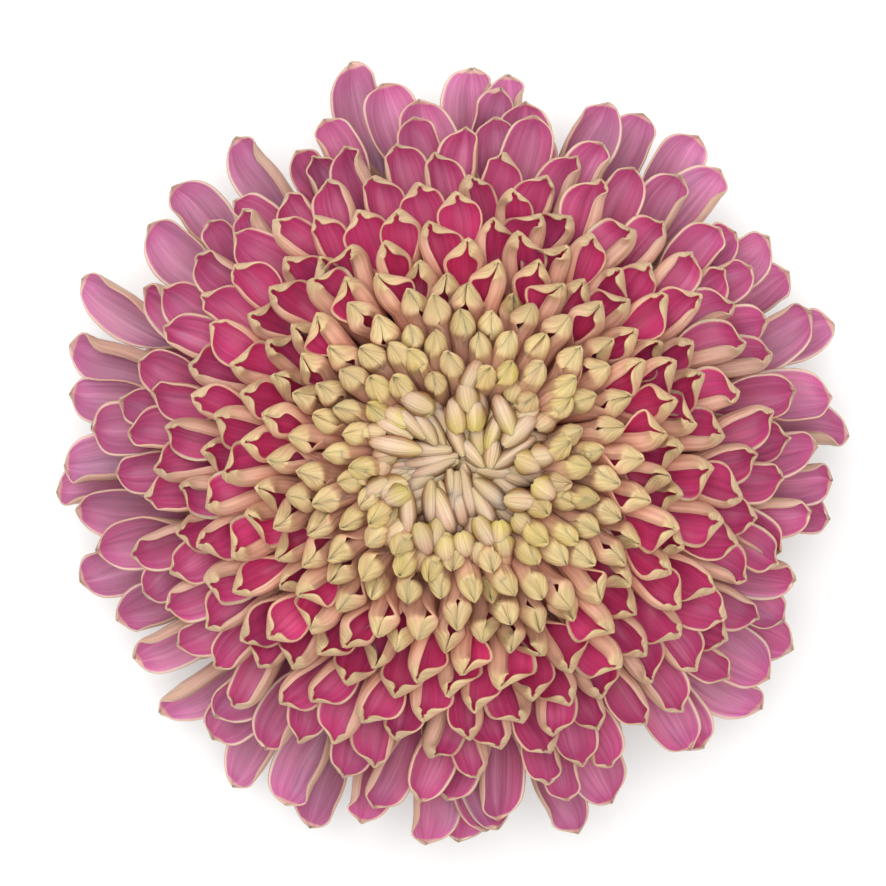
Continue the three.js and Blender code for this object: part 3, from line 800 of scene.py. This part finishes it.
# %% The fingers of the bud
# tip across and up in mm, heading in degrees, length and width in mm, and how green the tip is
BUD_FINGERS = [
    (-5.9, 2.4, -11, 7.6, 2.3, 0.4), (-1.6, 1.5, -1, 9.6, 2.2, 0.1), (-0.5, 0.7, 8, 10.4, 2.0, 0.0),
    (-0.9, 0.2, 17, 7.4, 1.9, 0.0), (-7.0, 4.1, -33, 6.0, 1.9, 0.2), (-6.2, 4.2, -38, 5.6, 1.9, 0.2),
    (-5.0, 4.0, -41, 6.6, 2.0, 0.3), (-4.6, 7.2, -32, 5.6, 2.7, 0.3), (-3.0, 2.3, -66, 8.0, 2.1, 0.3),
    (-4.2, 2.5, -56, 6.6, 2.4, 0.2), (-0.4, 0.9, -74, 8.6, 2.1, 0.2), (0.1, 4.5, -66, 5.4, 2.4, 0.8),
    (0.5, 7.2, -84, 4.6, 2.8, 0.5), (2.4, 4.6, -82, 4.8, 2.3, 0.9), (2.3, 1.2, -74, 6.0, 2.5, 0.9),
    (4.1, 1.8, -96, 6.4, 1.8, 0.9), (6.7, 3.9, -62, 5.8, 2.3, 0.7), (9.4, 6.0, -58, 5.2, 2.8, 0.7),
    (6.2, 2.2, -131, 6.6, 2.6, 0.1), (4.2, -0.2, -150, 8.4, 2.0, 0.0), (2.7, -0.7, -58, 6.0, 2.2, 0.2),
    (3.4, -0.5, -98, 5.4, 1.9, 0.2), (2.0, -1.2, 178, 7.0, 2.6, 0.3), (1.9, -1.9, 145, 6.4, 2.3, 0.2),
    (2.3, -3.5, 138, 5.6, 2.2, 0.2), (1.8, -3.2, 124, 6.0, 2.2, 0.2), (1.2, -1.6, 108, 7.2, 2.1, 0.2),
    (0.3, -0.6, 100, 7.8, 2.1, 0.1), (-0.4, 0.0, 95, 6.4, 1.8, 0.0), (-1.3, -1.0, 97, 6.2, 1.8, 0.1),
    (-2.5, -0.9, 106, 9.4, 2.1, 0.1), (-3.0, -2.2, 108, 8.6, 2.0, 0.2), (-3.9, -3.0, 104, 7.6, 2.6, 0.4),
    (-5.1, -2.3, 99, 6.8, 2.1, 0.4), (-7.5, -3.2, 91, 7.4, 2.1, 0.3), (-8.2, -2.2, 28, 4.4, 3.4, 0.4),
    (-9.1, -6.4, 66, 4.6, 2.7, 0.6), (-11.2, 2.0, 70, 6.0, 3.0, 0.2), (-6.1, -8.2, 106, 4.4, 3.0, 0.6),
    (-3.2, -10.5, 100, 4.0, 3.0, 0.7), (-0.8, -9.9, 112, 4.2, 2.9, 0.7), (1.4, -7.9, 118, 4.8, 2.5, 0.5),
    (5.0, -10.2, 106, 4.0, 2.8, 0.8), (4.6, -8.1, 84, 3.6, 2.6, 1.0), (5.9, -4.5, 178, 4.4, 2.6, 0.3),
    (7.4, 0.4, 168, 3.8, 2.6, 0.6),
]
# one more closes the gap between the long fingers and the ring round them
LAST_FINGER = (-4.1, -7.7, 98, 5.0, 2.5, 0.5)

# %% A root for each floret
SEED = 4
chances = np.random.default_rng(SEED)
# each floret's zone, which its colours follow, is its reach as a share of this
FULL_REACH = 60
LEAST_ZONE = 0.1
# a finger is rolled, so its strip is this much wider than what is seen of it
BUD_ROUND = 2.0
# the bud is a shallow bowl, level at its floor's radius; outside its brim the tips fall away by a share
BUD_FLOOR = 5
BUD_HOLLOW = 0.16
BUD_BRIM = 8.0
BUD_FALL = 0.5
# how far chance may lift a finger's tip in mm, more so away from the middle, and roll it in radians
BUD_LIFT = 0.25
BUD_UNEVEN = 0.08
BUD_ROLL = 0.16
# how green a tip may be: of florets that lie over, and of open ones, which lose it over so many mm of reach
LYING_GREEN = (0.2, 1.0)
OPEN_GREEN = (0.1, 0.8)
GREEN_REACH = 24
GREEN_FADE = 8


def jitter(size):
    return float(chances.uniform(-size, size))


def on_ring(azimuth, radius, height):
    return (radius * math.cos(azimuth), radius * math.sin(azimuth), height)


def floret_root(azimuth, root, form, reach, zone, size=1.0, roll=0.0, green=0.0):
    """One root point; `root` is its place (x, y, z) in mm, `reach` how far out its tip is."""
    slope = math.atan2(form_chords[form][1], form_chords[form][0])
    return {
        "place": root, "azimuth": azimuth, "slope": slope, "form": form, "size": size, "zone": zone,
        "tone": float(chances.uniform()), "roll": roll, "green": green, "reach": reach,
    }


def nearest(values, wanted):
    """The number of the value that is nearest to the wanted one."""
    return min(range(len(values)), key=lambda k: abs(values[k] - wanted))


def finger_root(x, y, heading, length, width, green, sunk=0.0):
    """A bud finger lies with its back up, so its form is turned to face the other way."""
    azimuth = math.radians(heading + 180)
    form = bud_forms[nearest(BUD_LENGTHS, length)][nearest(BUD_WIDTHS, width * BUD_ROUND)]
    out, up = form_chords[form]
    radius = math.hypot(x, y)
    tip = BUD_TIP + BUD_HOLLOW * (min(radius, BUD_BRIM) - BUD_FLOOR) - BUD_FALL * max(0.0, radius - BUD_BRIM)
    tip += jitter(BUD_LIFT + BUD_UNEVEN * radius) - sunk
    root = (x - out * math.cos(azimuth), y - out * math.sin(azimuth), tip - up)
    zone = max(LEAST_ZONE, radius / FULL_REACH)
    return floret_root(azimuth, root, form, radius, zone, roll=jitter(BUD_ROLL), green=green)


def open_root(azimuth, reach, height, share, roll):
    """A floret that reaches out from its place on the receptacle; its form's sway is taken back."""
    band = max(0, min(FORM_COUNT - 1, round((reach - FORM_START) / FORM_STEP)))
    way = int(chances.integers(len(WAYS)))
    form = open_forms[band][way]
    azimuth -= WAYS[way][2] / reach
    radius, foot = root_at(share)
    size = math.hypot(reach - radius, height - foot) / math.hypot(*form_chords[form])
    green = float(np.clip((GREEN_REACH - reach) / GREEN_FADE, 0, 1)) * float(chances.uniform(*OPEN_GREEN))
    root = on_ring(azimuth, radius, foot)
    return floret_root(azimuth, root, form, reach, reach / FULL_REACH, size, roll, green)


# %% The bud's ring
# more fingers fill the bud underneath the placed ones, sunk more and more outwards
BUD_FILL = 60
BUD_FILL_REACH = 8.0
BUD_FILL_INWARDS = 1.6
BUD_FILL_DEPTH = 1.0
BUD_FILL_SLOPE = 0.3
BUD_FILL_LENGTH = (5.0, 8.0)
BUD_FILL_WIDTH = 2.2
BUD_FILL_GREEN = 0.2
BUD_FILL_TURN = 30
GOLDEN_ANGLE = math.pi * (3 - math.sqrt(5))

rings = {name: [] for name in ("bud", "fingertips", "slit_tubes", "eye_mouths", "spoons", "rim", "under_rim")}
rings["bud"] = [finger_root(*finger) for finger in BUD_FINGERS]
for n in range(BUD_FILL):
    radius = BUD_FILL_REACH * math.sqrt((n + 0.5) / BUD_FILL) - BUD_FILL_INWARDS
    azimuth = n * GOLDEN_ANGLE
    x, y, _ = on_ring(azimuth, radius, 0)
    heading = math.degrees(azimuth) + 180 + jitter(BUD_FILL_TURN)
    length = part_way(BUD_FILL_LENGTH, float(chances.uniform()))
    sunk = BUD_FILL_DEPTH + BUD_FILL_SLOPE * abs(radius)
    rings["bud"].append(finger_root(x, y, heading, length, BUD_FILL_WIDTH, BUD_FILL_GREEN, sunk))
print(len(rings["bud"]), "fingers in the bud")

# %% The spiral's rings
# where each ring ends
RING_ENDS = [("fingertips", 21.0), ("slit_tubes", 30.0), ("eye_mouths", 40.0), ("spoons", math.inf)]
REACH_BY_COUNT = [(count, reach) for reach, count in COUNT_BY_REACH]
# florets that reach less far than this still lie over towards the middle, and their tips lie further back
LYING_REACH = 14.5
LYING_BACKWARDS = 2.2
LYING_LENGTH = 4.0
LYING_WIDTH = 2.9
# how far chance may turn such a floret in degrees, and how much it may change its length and width
LYING_TURN = 28
LENGTH_SPREAD = 0.9
WIDTH_SPREAD = 0.4
# how far chance may move any floret: in azimuth, in radians, and sideways, in reach and in height, in mm
AZIMUTH_SPREAD = 0.02
SIDEWAYS_SPREAD = 0.5
REACH_SPREAD = 1.1
HEIGHT_SPREAD = 0.8
# past this reach a floret is turned to its nearest neighbour on the rim, but for this angle at most
RIM_PULL_REACH = 47.5
RIM_PULL = math.radians(1.8)
# how far a floret may be turned about its own length, in radians
TURN_BY_REACH = [(14, 0.3), (36, 0.36), (50, 0.5)]


def towards_rim(azimuth):
    """Turns an azimuth to the nearest rim floret, so that the notches between them stay open."""
    turns = [(azimuth - math.radians(a) + math.pi) % (2 * math.pi) - math.pi for a, _ in RIM]
    turn = min(turns, key=abs)
    return azimuth - turn + max(-RIM_PULL, min(RIM_PULL, turn))


for n in range(BUD_FLORETS, SPIRAL_COUNT):
    reach = look_up(REACH_BY_COUNT, n - BUD_FLORETS + 0.5)
    azimuth = n * GOLDEN_ANGLE + jitter(AZIMUTH_SPREAD) + jitter(SIDEWAYS_SPREAD) / reach
    ring = rings[next(name for name, end in RING_ENDS if reach < end)]
    reach += jitter(REACH_SPREAD)
    if reach < LYING_REACH:
        x, y, _ = on_ring(azimuth, reach - LYING_BACKWARDS, 0)
        heading = math.degrees(azimuth) + 180 + jitter(LYING_TURN)
        green = float(chances.uniform(*LYING_GREEN))
        length = LYING_LENGTH + jitter(LENGTH_SPREAD)
        width = LYING_WIDTH + jitter(WIDTH_SPREAD)
        ring.append(finger_root(x, y, heading, length, width, green))
        continue
    if reach > RIM_PULL_REACH:
        azimuth = towards_rim(azimuth)
    height = tip_height(reach) + jitter(HEIGHT_SPREAD)
    ring.append(open_root(azimuth, reach, height, n / FACE_COUNT, jitter(look_up(TURN_BY_REACH, reach))))

# %% The rim and what hangs under it
RIM_HEIGHT_SPREAD = 1.0
RIM_TURN = 0.42
UNDER_FLORETS = 60
# the florets under the rim come last of all, in reach and in zone
UNDER_ORDER = 70.0
UNDER_ZONE = 0.95
UNDER_ROLL = 0.2

for k, (degrees, reach) in enumerate(RIM):
    height = tip_height(reach) + jitter(RIM_HEIGHT_SPREAD)
    share = (SPIRAL_COUNT + k) / FACE_COUNT
    rings["rim"].append(open_root(math.radians(degrees), reach, height, share, jitter(RIM_TURN)))
for k in range(UNDER_FLORETS):
    along = (k + 0.5) / UNDER_FLORETS
    form = under_forms[min(UNDER_STEPS - 1, int(along * UNDER_STEPS))][int(chances.integers(len(WAYS)))]
    azimuth = (FACE_COUNT + k) * GOLDEN_ANGLE
    if part_way(UNDER_REACH, along) > RIM_PULL_REACH:
        azimuth = towards_rim(azimuth)
    root = on_ring(azimuth, RECEPTACLE_RADIUS - UNDER_INSET, RECEPTACLE_EDGE)
    roll = jitter(UNDER_ROLL)
    rings["under_rim"].append(floret_root(azimuth, root, form, UNDER_ORDER + along, UNDER_ZONE, roll=roll))
rings["bud"].append(finger_root(*LAST_FINGER))
print({name: len(ring) for name, ring in rings.items()})

# %% Plant each ring
LEAN = (1.95, -1.6, 0.0)
LEAN_CENTRE = (0.0, 0.0, 18.0)
LEAN_START = 14.0
LEAN_FULL = 34.0
ROLL_SPREAD = 0.12
SIZE_SPREAD = 0.02
# from one ripple to the next, and how deep they are in each ring, in mm
RIPPLE_WAVE = 11.0
RIPPLES = {
    "bud": 0.6, "fingertips": 0.8, "slit_tubes": 1.2, "eye_mouths": 1.6, "spoons": 2.4, "rim": 3.0,
    "under_rim": 2.0,
}


def root_points(name, ring):
    mesh = bpy.data.meshes.new(name)
    mesh.from_pydata([[c * MM for c in floret["place"]] for floret in ring], [], [])
    for label in ("azimuth", "slope", "size", "zone", "tone", "roll", "green"):
        mesh.attributes.new(label, "FLOAT", "POINT").data.foreach_set("value", [f[label] for f in ring])
    for label, values in (("form", [f["form"] for f in ring]), ("cell", list(range(len(ring))))):
        mesh.attributes.new(label, "INT", "POINT").data.foreach_set("value", values)
    return mesh


def plant_ring(name, ring, ripple, face=face_finish, back=back_finish):
    """Plants one ring of florets, and turns what has grown into a plain mesh."""
    seedbed = bpy.data.objects.new(name + "_roots", root_points(name + "_roots", ring))
    bpy.context.scene.collection.objects.link(seedbed)
    grown = seedbed.modifiers.new("Plant florets", "NODES")
    grown.node_group = plant
    values = {
        "Forms": forms, "Seed": SEED, "Roll spread": ROLL_SPREAD, "Size spread": SIZE_SPREAD,
        "Ripple depth": ripple * MM, "Ripples per metre": 1 / (RIPPLE_WAVE * MM),
        "Lean": [c * MM for c in LEAN], "Lean centre": [c * MM for c in LEAN_CENTRE],
        "Lean start": LEAN_START * MM, "Lean full": LEAN_FULL * MM,
        "Sheet columns": math.ceil(math.sqrt(len(ring))), "Face finish": face, "Back finish": back,
    }
    for label, value in values.items():
        grown[plant_inputs[label]] = value
    bpy.context.view_layer.update()
    mesh = bpy.data.meshes.new_from_object(seedbed.evaluated_get(bpy.context.evaluated_depsgraph_get()))
    mesh.name = name
    piece = bpy.data.objects.new(name, mesh)
    bpy.context.scene.collection.objects.link(piece)
    bpy.data.objects.remove(seedbed)
    if "UVMap" in mesh.uv_layers:
        mesh.uv_layers.remove(mesh.uv_layers["UVMap"])
    mesh.calc_loop_triangles()
    print(name, len(ring), "florets,", len(mesh.loop_triangles), "triangles")
    return piece


florets = {name: plant_ring(name, ring, RIPPLES[name]) for name, ring in rings.items()}

# %% [markdown]
# ## Petals press on one another
#
# Florets that stand this close would cut through each other at the edges. In the bloom the inner floret lies
# over the outer one and presses its edge down. A cloth simulation could do that, slowly and never twice the
# same. So, from the middle outwards, every point of a floret that would stand inside the one lying over it is
# lowered to just beneath it, and its neighbours on the petal with it. The bud is left out: there the outer
# fingers lie over the inner ones, and they were placed that way.

# %% Ease a dent
SPREAD_STEPS = 7
SPREAD_FALL = 0.28
SOFTENINGS = 2


def eased(push):
    """Spreads a dent in a petal's grid of points, so that it slopes away gently and has no sharp edge."""
    wide = push
    for step in range(SPREAD_STEPS + SOFTENINGS):
        padded = np.pad(wide, 1, mode="edge")
        beside = [padded[:-2, 1:-1], padded[2:, 1:-1], padded[1:-1, :-2], padded[1:-1, 2:]]
        if step < SPREAD_STEPS:
            wide = np.maximum(wide, np.maximum.reduce(beside) - SPREAD_FALL)
        else:
            wide = np.maximum((sum(beside) + wide) / (len(beside) + 1), push)
    return wide


# %% Press each floret under the ones that lie over it
GAP = 0.12
DEEPEST_PRESS = 4.2
ROW_POINTS = COLS + 1
ROWS = TUBE_ROWS + TIP_ROWS
QUADS = [
    (a, a + 1, a + 1 + ROW_POINTS, a + ROW_POINTS)
    for a in (i * ROW_POINTS + j for i in range(ROWS - 1) for j in range(COLS))
]


def push_under(skin, above, push):
    """Notes how far each point near the tip stands above the underside of a floret that lies over it."""
    look = skin[:, TUBE_ROWS:]
    low, high = look.min(axis=(0, 1, 2)), look.max(axis=(0, 1, 2))
    for tree, box_low, box_high in above:
        if (box_low[:2] > high[:2]).any() or (box_high[:2] < low[:2]).any():
            continue
        under_it = (look[..., :2] >= box_low[:2]) & (look[..., :2] <= box_high[:2])
        for side, i, j in np.argwhere(under_it.all(axis=-1)):
            x, y, z = look[side, i, j]
            place = tree.ray_cast((x, y, 0.0), (0, 0, 1))[0]
            if place is not None and 0 < z - (place[2] - GAP) < DEEPEST_PRESS:
                push[TUBE_ROWS + i, j] = max(push[TUBE_ROWS + i, j], z - (place[2] - GAP))


def press_florets(pieces, rings):
    skins, order = {}, []
    for name, ring in rings.items():
        if name == "bud":
            continue
        mesh = pieces[name].data
        flat = np.zeros(len(mesh.vertices) * 3)
        mesh.vertices.foreach_get("co", flat)
        skins[name] = flat.reshape(len(ring), 2, ROWS, ROW_POINTS, 3) / MM
        order += [(floret["reach"], name, k) for k, floret in enumerate(ring)]
    above, pressed = [], 0
    for _, name, k in sorted(order):
        skin = skins[name][k]
        if name != "fingertips":
            push = np.zeros((ROWS, ROW_POINTS))
            push_under(skin, above, push)
            if push.any():
                skin[:, :, :, 2] -= eased(push)
                pressed += 1
        near = skin[1, TUBE_ROWS:].reshape(-1, 3)
        tree = BVHTree.FromPolygons(skin[1].reshape(-1, 3).tolist(), QUADS)
        above.append((tree, near.min(axis=0), near.max(axis=0)))
    for name, skin in skins.items():
        mesh = pieces[name].data
        mesh.vertices.foreach_set("co", (skin * MM).ravel())
        mesh.update()
    print(pressed, "of", len(order), "florets pressed under a neighbour")


press_florets(florets, rings)

# %% [markdown]
# ## The green parts
#
# Under the florets sits the involucre: a shallow green cup clothed in three rows of small pointed bracts that
# once wrapped the bud. Each is a thin leaf with a dry, papery margin. They could be cut one by one, but they
# are alike, so they are planted as the florets are, one form to a row. The receptacle, the cup and the stem
# are turned solids, and the stem has eight soft ribs and a freshly cut end with pale pith.


# %% Green finishes
def bract_skin():
    """A small green leaf, grown with fine veins and dried to straw at its papery margin; it hardly shines."""
    made, add, at = start_finish("Bract leaf", "across", "along", "tone")
    stops = [(0.35, "#5C7434"), (0.65, "#8CA052")]
    green = add("ShaderNodeValToRGB", {0: streaks(add, at, 1.2, 12.0)}, stops=stops)[0]
    side = add("ShaderNodeMath", {0: at["across"]}, operation="ABSOLUTE")[0]
    papery = add("ShaderNodeMapRange", {"Value": side, "From Min": 0.62, "From Max": 0.86})[0]
    relief = {"Strength": 0.5, "Distance": 0.2 * MM, "Height": streaks(add, at, 0.8, 12.0, 1.0)}
    return end_finish(made, {
        "Base Color": dye(add, green, [("#C2AC7C", papery)]), "Normal": add("ShaderNodeBump", relief)[0],
        "Roughness": 0.6, "Subsurface Weight": 0.15, "Subsurface Scale": 0.6 * MM,
    })


def green_flesh(name, pale, dark, patch):
    """Smooth green plant skin, matte, and mottled in patches about `patch` mm wide."""
    made, add, _ = start_finish(name)
    place = add("ShaderNodeTexCoord")["Object"]
    noise = add("ShaderNodeTexNoise", {"Vector": place, "Scale": 1 / (patch * MM), "Detail": 3.0})[0]
    return end_finish(made, {
        "Base Color": add("ShaderNodeValToRGB", {0: noise}, stops=[(0.35, dark), (0.65, pale)])[0],
        "Roughness": 0.6, "Subsurface Weight": 0.1, "Subsurface Scale": 1.0 * MM,
    })


# %% Stem finish
STEM_RADIUS = 3.3
# the stem's fibres: from one to the next across it, and how far each runs up it
FIBRE_GAP = 0.5
FIBRE_RUN = 9.0
# the cut end's colours reach this far up the skin
CUT_SKIN = 0.12


def stem_skin():
    """Ribbed green stem skin with long fibres, and at the cut end a green rim round pale, moist pith."""
    made, add, _ = start_finish("Stem skin")
    place = add("ShaderNodeTexCoord")["Object"]
    scales = (1 / (FIBRE_GAP * MM), 1 / (FIBRE_GAP * MM), 1 / (FIBRE_RUN * MM))
    drawn_out = add("ShaderNodeVectorMath", {0: place, 1: scales}, operation="MULTIPLY")[0]
    fibres = add("ShaderNodeTexNoise", {"Vector": drawn_out, "Scale": 1.0, "Detail": 2.0})[0]
    skin = add("ShaderNodeValToRGB", {0: fibres}, stops=[(0.35, "#62763A"), (0.65, "#94A65E")])[0]
    x, y, z = add("ShaderNodeSeparateXYZ", {0: place})
    flat = add("ShaderNodeCombineXYZ", {0: x, 1: y})[0]
    radius = add("ShaderNodeVectorMath", {0: flat}, operation="LENGTH")["Value"]
    from_axis = add("ShaderNodeMapRange", {"Value": radius, "From Max": STEM_RADIUS * MM})[0]
    from_pith = [(0.0, "#E6E4CA"), (0.45, "#DADAB4"), (0.6, "#A9B878"), (0.75, "#8FA25C")]
    wood = add("ShaderNodeValToRGB", {0: from_axis}, stops=from_pith)[0]
    # the cut's colours at the bottom, the skin's from CUT_SKIN upwards
    at_cut = add("ShaderNodeMapRange", dict(enumerate((z, 0.3 * CUT_SKIN * MM, CUT_SKIN * MM, 1.0, 0.0))))[0]
    relief = {"Strength": 0.4, "Distance": 0.2 * MM, "Height": fibres}
    return end_finish(made, {
        "Base Color": dye(add, skin, [(wood, at_cut)]), "Normal": add("ShaderNodeBump", relief)[0],
        "Roughness": 0.55, "Subsurface Weight": 0.1, "Subsurface Scale": 1.0 * MM,
    })


# %% Bracts
CUP_PROFILE = [(0, 7.0), (3.5, 7.0), (6.4, 8.1), (9.6, 9.9), (11.6, 12.0), (12.0, 13.7), (0, 13.7)]
CUP_EDGE = 11.0
# each row's start and end from the axis, how far off the cup it lies, and its rise past the edge in degrees
BRACT_ROWS = [(3.7, 13.2, 0.75, 24), (6.0, 15.4, 0.5, 16), (8.4, 17.0, 0.25, 8)]
BRACTS_IN_ROW = 10
BRACT_STEPS = 40
BRACT_SOFTENING = 7
BRACT_ZONE = 0.5
BRACT_RIPPLE = 0.5
# how far chance may turn a bract about the stem, in radians, and change its size, as a share
BRACT_TURN = 0.05
BRACT_SPREAD = 0.03
BRACT = {
    "width": 4.4, "foot": 0.9, "widest": 5.0, "tube": 60, "mouth": 60, "mouth_length": 7.0, "tip_roll": 70,
    "crease": 12, "tip_power": 1.5, "tip_blunt": 0.85, "teeth": 0.25, "ridge": 0.1, "thickness": 0.5,
}


def bract_form(start, end, off, rise):
    """A leaf that lies against the cup from `start` to its edge and goes straight on from there to `end`."""
    radii = np.linspace(start, end, BRACT_STEPS)
    past = np.maximum(0, radii - CUP_EDGE) * math.tan(math.radians(rise))
    heights = np.interp(np.minimum(radii, CUP_EDGE), *zip(*CUP_PROFILE[1:5])) - off + past
    padded = np.pad(heights, BRACT_SOFTENING // 2, mode="edge")
    heights = np.convolve(padded, np.ones(BRACT_SOFTENING) / BRACT_SOFTENING, mode="valid")
    places = np.stack([radii - radii[0], heights - heights[0]], axis=1)
    ahead = np.gradient(places, axis=0)
    return keep_form((places, np.arctan2(ahead[:, 1], ahead[:, 0])), BRACT), heights[0]


bract_ring = []
for row, sizes in enumerate(BRACT_ROWS):
    form, foot = bract_form(*sizes)
    for k in range(BRACTS_IN_ROW):
        azimuth = 2 * math.pi * (k + row / len(BRACT_ROWS)) / BRACTS_IN_ROW + jitter(BRACT_TURN)
        root = on_ring(azimuth, sizes[0], foot)
        bract_ring.append(floret_root(azimuth, root, form, sizes[1], BRACT_ZONE, 1 + jitter(BRACT_SPREAD)))
bract_leaf = bract_skin()
bracts = plant_ring("bracts", bract_ring, BRACT_RIPPLE, bract_leaf, bract_leaf)
for form in list(forms.objects):
    bpy.data.objects.remove(form)
bpy.data.collections.remove(forms)

# %% Receptacle, cup and stem
RIBS = 8
RIB_DEPTH = 0.06
RECEPTACLE_PROFILE = [
    (0, 14.2), (11.9, 14.2), (12.6, 15.4), (12.0, 17.0), (9.8, 19.6), (6.5, 22.2), (3, 23.6), (0, 24.0),
]
STEM_PROFILE = [
    (0, 0.0), (1.2, 0.0), (2.4, 0.0), (3.05, 0.04), (3.25, 0.2), (STEM_RADIUS, 0.6), (STEM_RADIUS, 3.0),
    (3.35, 5.5), (3.45, 6.7), (0, 6.7),
]
MOTTLE = 2.5


def turned_solid(name, profile, sides, finish, rib=0.0):
    """A solid of revolution from (radius, height) pairs in mm that start and end on the axis."""
    points = [(0, 0, profile[0][1])]
    for radius, height in profile[1:-1]:
        for k in range(sides):
            angle = 2 * math.pi * k / sides
            points.append(on_ring(angle, radius * (1 - rib * (0.5 - 0.5 * math.cos(angle * RIBS))), height))
    points.append((0, 0, profile[-1][1]))
    faces = []
    inner = len(profile) - 2
    for k in range(sides):
        n = (k + 1) % sides
        faces.append((0, 1 + n, 1 + k))
        for row in range(inner - 1):
            a, b = 1 + row * sides, 1 + (row + 1) * sides
            faces.append((a + k, a + n, b + n, b + k))
        top = 1 + (inner - 1) * sides
        faces.append((top + k, top + n, len(points) - 1))
    mesh = bpy.data.meshes.new(name)
    mesh.from_pydata([[c * MM for c in p] for p in points], [], faces)
    mesh.polygons.foreach_set("use_smooth", [True] * len(faces))
    mesh.materials.append(finish)
    piece = bpy.data.objects.new(name, mesh)
    bpy.context.scene.collection.objects.link(piece)
    print(name, len(faces), "faces")
    return piece


receptacle_skin = green_flesh("Receptacle flesh", "#A58F5A", "#6E5A33", MOTTLE)
receptacle = turned_solid("receptacle", RECEPTACLE_PROFILE, 48, receptacle_skin)
cup = turned_solid("bract_cup", CUP_PROFILE, 64, green_flesh("Bract cup flesh", "#7C9145", "#586F2E", MOTTLE))
stem = turned_solid("cut_stem", STEM_PROFILE, 96, stem_skin(), RIB_DEPTH)

# %% [markdown]
# ## Floor, light and camera
#
# The bloom lies on a plain white table under broad, soft light, with a long lens straight above it. A hard
# lamp would draw black gaps between the petals. A third soft light close to the lens's own direction fills
# the throats of the tubes, as a bright ceiling does.

# %% Floor and world
FLOOR_SIDE = 3.0
WORLD_LIGHT = 0.86

floor_mesh = bpy.data.meshes.new("floor")
corners = [(-FLOOR_SIDE, -FLOOR_SIDE, 0), (FLOOR_SIDE, -FLOOR_SIDE, 0), (FLOOR_SIDE, FLOOR_SIDE, 0)]
floor_mesh.from_pydata([*corners, (-FLOOR_SIDE, FLOOR_SIDE, 0)], [], [(0, 1, 2, 3)])
floor = bpy.data.objects.new("floor", floor_mesh)
bpy.context.scene.collection.objects.link(floor)
floor_mesh.materials.append(
    end_finish(start_finish("Pale floor")[0], {"Base Color": linear("#F7F7F7"), "Roughness": 0.9})
)

world = bpy.data.worlds.new("Studio")
bpy.context.scene.world = world
world.use_nodes = True
sky = {"Color": linear("#FFFFFF"), "Strength": WORLD_LIGHT}
set_inputs(world.node_tree, world.node_tree.nodes["Background"], sky)


# %% Lights, in metres and watts
def soft_light(name, place, size, power, target=(0, 0, 0.03)):
    data = bpy.data.lights.new(name, "AREA")
    data.shape = "DISK"
    data.size = size
    data.energy = power
    lamp = bpy.data.objects.new(name, data)
    lamp.location = place
    lamp.rotation_mode = "QUATERNION"
    lamp.rotation_quaternion = (Vector(target) - Vector(place)).to_track_quat("-Z", "Y")
    bpy.context.scene.collection.objects.link(lamp)


soft_light("key light", (-0.35, 0.45, 0.7), 0.6, 2.8)
soft_light("fill light", (0.6, -0.2, 0.6), 0.6, 1.0)
soft_light("overhead light", (0.0, 0.02, 0.95), 0.5, 3.6)

# %% Camera
# the width and the middle of what it sees, at the height of the rim, in mm
VIEW_WIDTH = 133.2
VIEW_CENTRE = (-0.91, 1.41)
RIM_PLANE = 20.0
LENS = 200.0
SENSOR = 36.0

camera_data = bpy.data.cameras.new("camera")
camera_data.lens = LENS
camera_data.sensor_width = SENSOR
camera_data.clip_start = 0.05
camera = bpy.data.objects.new("camera", camera_data)
height = RIM_PLANE + LENS / SENSOR * VIEW_WIDTH
camera.location = (VIEW_CENTRE[0] * MM, VIEW_CENTRE[1] * MM, height * MM)
bpy.context.scene.collection.objects.link(camera)
bpy.context.scene.camera = camera
bpy.context.scene.view_settings.view_transform = "Standard"
print("camera", round(height), "mm above the table")

# %% [markdown]
# ## Tie the pieces to the plain model
#
# Nothing on a cut bloom moves by itself, so every piece rides on the root. Each piece stands for a mass of
# the plain model, and that plain mass is hidden.

# %% Tie every piece to the model
STANDS_FOR = {
    "bud": "centre_florets", "fingertips": "centre_florets", "slit_tubes": "middle_florets",
    "eye_mouths": "middle_florets", "spoons": "outer_florets", "rim": "outer_florets",
    "under_rim": "outer_florets",
}
pieces = [(piece, STANDS_FOR[name]) for name, piece in florets.items()]
pieces += [(receptacle, "centre_florets"), (stem, "stem"), (cup, "involucre"), (bracts, "involucre")]
for piece, node in pieces:
    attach(piece, "root")
    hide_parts(node)
print(len(pieces), "pieces tied to the root")
